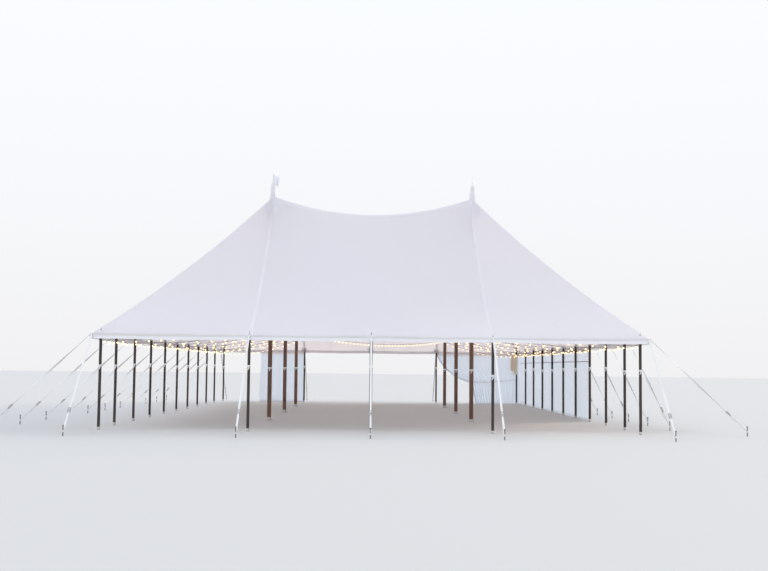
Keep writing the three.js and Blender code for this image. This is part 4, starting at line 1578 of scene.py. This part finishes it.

# %% [markdown]
# Two tapes cross the long wall on both its faces, the upper one under its top, and a tape runs down
# the long wall's front edge and the curtain's free edge. The curtain is held aside by a strap to the
# corner pole. The spare cloth at the corner is drawn up against that pole in a fluted bunch, with a
# tie near its lower end.

# %% Tapes, tie and bunch
TAPE_LEVELS, TAPE_WIDTH, EDGE_TAPE = (1.88, WALL_TOP - HEAD_STRIP), 0.03, 0.05
OVER, UNDER = (0.0012, 0.0026), (-0.0026, -0.0004)
tapes = bmesh.new()
for level in TAPE_LEVELS:
    line = [Vector((y, level)) for y in np.arange(right_low.y + 0.01, right_high.y - 0.01, 0.05)]
    for low, high in (OVER, UNDER):
        ribbon(tapes, on_right_wall, line, TAPE_WIDTH, low, high)
line = [Vector((right_low.y + 0.03, z)) for z in np.linspace(0.02, 2.34, 40)]
ribbon(tapes, on_right_wall, line, EDGE_TAPE, *OVER)
line = [Vector((free_edge(z) + 0.03, z)) for z in np.linspace(0.02, 2.34, 60)]
ribbon(tapes, on_curtain, line, EDGE_TAPE, *OVER)
as_piece(tapes, "wall_tapes", [wall_tape], "wall_cloth")

corner = middle(poles_on["corner"][-1])


def on_tie(x, z, lift):
    """The tie's sagging way from the curtain's edge to the corner pole."""
    share = (x - CURTAIN_TIE) / (corner.x - CURTAIN_TIE)
    return Vector((x, back_y - 0.004 - lift - 0.055 * share, z - 0.05 * math.sin(math.pi * share)))


tie = bmesh.new()
line = even_steps((CURTAIN_TIE - 0.01, 1.0), (corner.x - 0.03, 1.12), 0.05)
ribbon(tie, on_tie, line, 0.035, 0.0, 0.002)
as_piece(tie, "curtain_tie", [webbing], "webbing")

BUNCH_LOW, BUNCH_HIGH, BUNCH_TIE, TIE_WIDTH = 1.36, 2.30, 1.46, 0.044
BUNCH_WIDE, BUNCH_DEEP = 0.165, 0.075


def gathered(low, high, rows, swell, around=120):
    """The gathered cloth's fluted tube between two heights. It narrows towards the pole."""

    def place(s, row):
        turn, z = TAU * s / around, low + (high - low) * row / rows
        waist = 1 - 0.5 * math.exp(-(((z - BUNCH_TIE) / 0.07) ** 2))
        waist -= 0.3 * math.exp(-(((z - 2.34) / 0.2) ** 2))
        wide, deep = BUNCH_WIDE * waist + swell, max(0.055, BUNCH_DEEP * waist) + swell
        centre = corner + Vector((0.045 + swell - wide, 0.038 - deep, z))
        free = 0.5 - 0.5 * math.cos(turn)
        flute = 0.5 - 0.5 * math.cos(13 * turn + 0.5 * math.sin(2.5 * z))
        reach = 1 - 0.22 * free * flute
        return centre + reach * Vector((wide * math.cos(turn), deep * math.sin(turn), 0))

    bm = bmesh.new()
    mapped_grid(bm, around, rows, place, lambda s, row: (0.9 * s / around, 0.03 * row), joined=True)
    return bm


bunch = gathered(BUNCH_LOW, BUNCH_HIGH, 33, 0.0)
# The bunch's cream colour is painted warm light on the walls' bluish white cloth.
solid(as_piece(bunch, "wall_bunch", [bunch_cloth_painted_warm_light], "wall_cloth"), 0.0015, -1)
waistband = gathered(BUNCH_TIE - TIE_WIDTH / 2, BUNCH_TIE + TIE_WIDTH / 2, 4, 0.0022)
solid(as_piece(waistband, "bunch_tie", [webbing], "webbing"), 0.0018, -1)

# %% [markdown]
# Last, the cloth pieces are declared with the sizes they would have flat on the workshop floor, how
# they are held, and what holds them. The roof is stretched over masts and poles, the walls hang.

# %% What the cloth is
for name, (sheet, size) in roof_sheets.items():
    holders = [f"{mast}_timber" for mast in mast_names] + [f"{pole}_timber" for pole in pole_names]
    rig.sheet(sheet, flat=size, held="stretched", rests_on=holders, area=area_of(sheet))
for name, (wall, size) in walls.items():
    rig.sheet(wall, flat=size, held="hung", rests_on=["roof_cloth_back"])

# %% [markdown]
# The stage is a wide pale floor. Light comes from a sky that is brighter overhead than at the
# horizon, from a soft sun above the camera's left, and from a low one behind on the right, which
# shines through walls and roof and so fills the inside of the tent.

# %% Stage and light
FLOOR_RADIUS, SKY_STRENGTH = 240, 1.05
SKY = [
    (0.0, (0.84, 0.84, 0.85)), (0.12, (0.88, 0.89, 0.91)), (0.3, (0.91, 0.93, 0.97)),
    (0.6, (0.98, 1.06, 1.18)), (1.0, (0.98, 1.06, 1.18)),
]
floor = bmesh.new()
bmesh.ops.create_circle(floor, cap_ends=True, segments=96, radius=FLOOR_RADIUS)
floor_mesh = bpy.data.meshes.new("floor")
floor.to_mesh(floor_mesh)
floor.free()
floor_finish, *_ = start_material("floor", Base_Color=(0.52, 0.515, 0.505, 1), Roughness=0.9)
floor_mesh.materials.append(floor_finish)
ground = bpy.data.objects.new("floor", floor_mesh)
bpy.context.scene.collection.objects.link(ground)
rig.stage(ground)

world = bpy.data.worlds.new("studio")
world.use_nodes = True
tree = world.node_tree
direction = node_in(tree, "ShaderNodeTexCoord").outputs["Generated"]
upwards = node_in(tree, "ShaderNodeSeparateXYZ", [(0, direction)]).outputs["Z"]
sky = node_in(tree, "ShaderNodeValToRGB", [(0, upwards)])
stops = sky.color_ramp.elements
stops.remove(stops[1])
for share, colour in SKY:
    stop = stops.new(share) if share else stops[0]
    stop.position, stop.color = share, (*colour, 1)
background = tree.nodes["Background"]
tree.links.new(sky.outputs[0], background.inputs["Color"])
background.inputs["Strength"].default_value = SKY_STRENGTH
bpy.context.scene.world = world
bpy.context.scene.view_settings.view_transform = "Standard"


def sun(name, strength, colour, direction, spread):
    lamp = bpy.data.lights.new(name, "SUN")
    lamp.energy = strength
    lamp.color = colour
    lamp.angle = math.radians(spread)
    holder = bpy.data.objects.new(name, lamp)
    holder.rotation_mode = "QUATERNION"
    holder.rotation_quaternion = Vector(direction).to_track_quat("-Z", "Y")
    bpy.context.scene.collection.objects.link(holder)


sun("key", 0.7, (0.96, 0.98, 1.0), (0.5, 0.4, -0.75), 35)
sun("behind", 1.7, (1.0, 0.87, 0.74), (-0.75, -0.55, -0.35), 35)

# %% The end
visual_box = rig.bounds()
sizes = {"cad": [list(v) for v in cad_box], "visual": [list(v) for v in visual_box]}
with open("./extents.json", "w") as file:
    json.dump(sizes, file)
print(sizes)
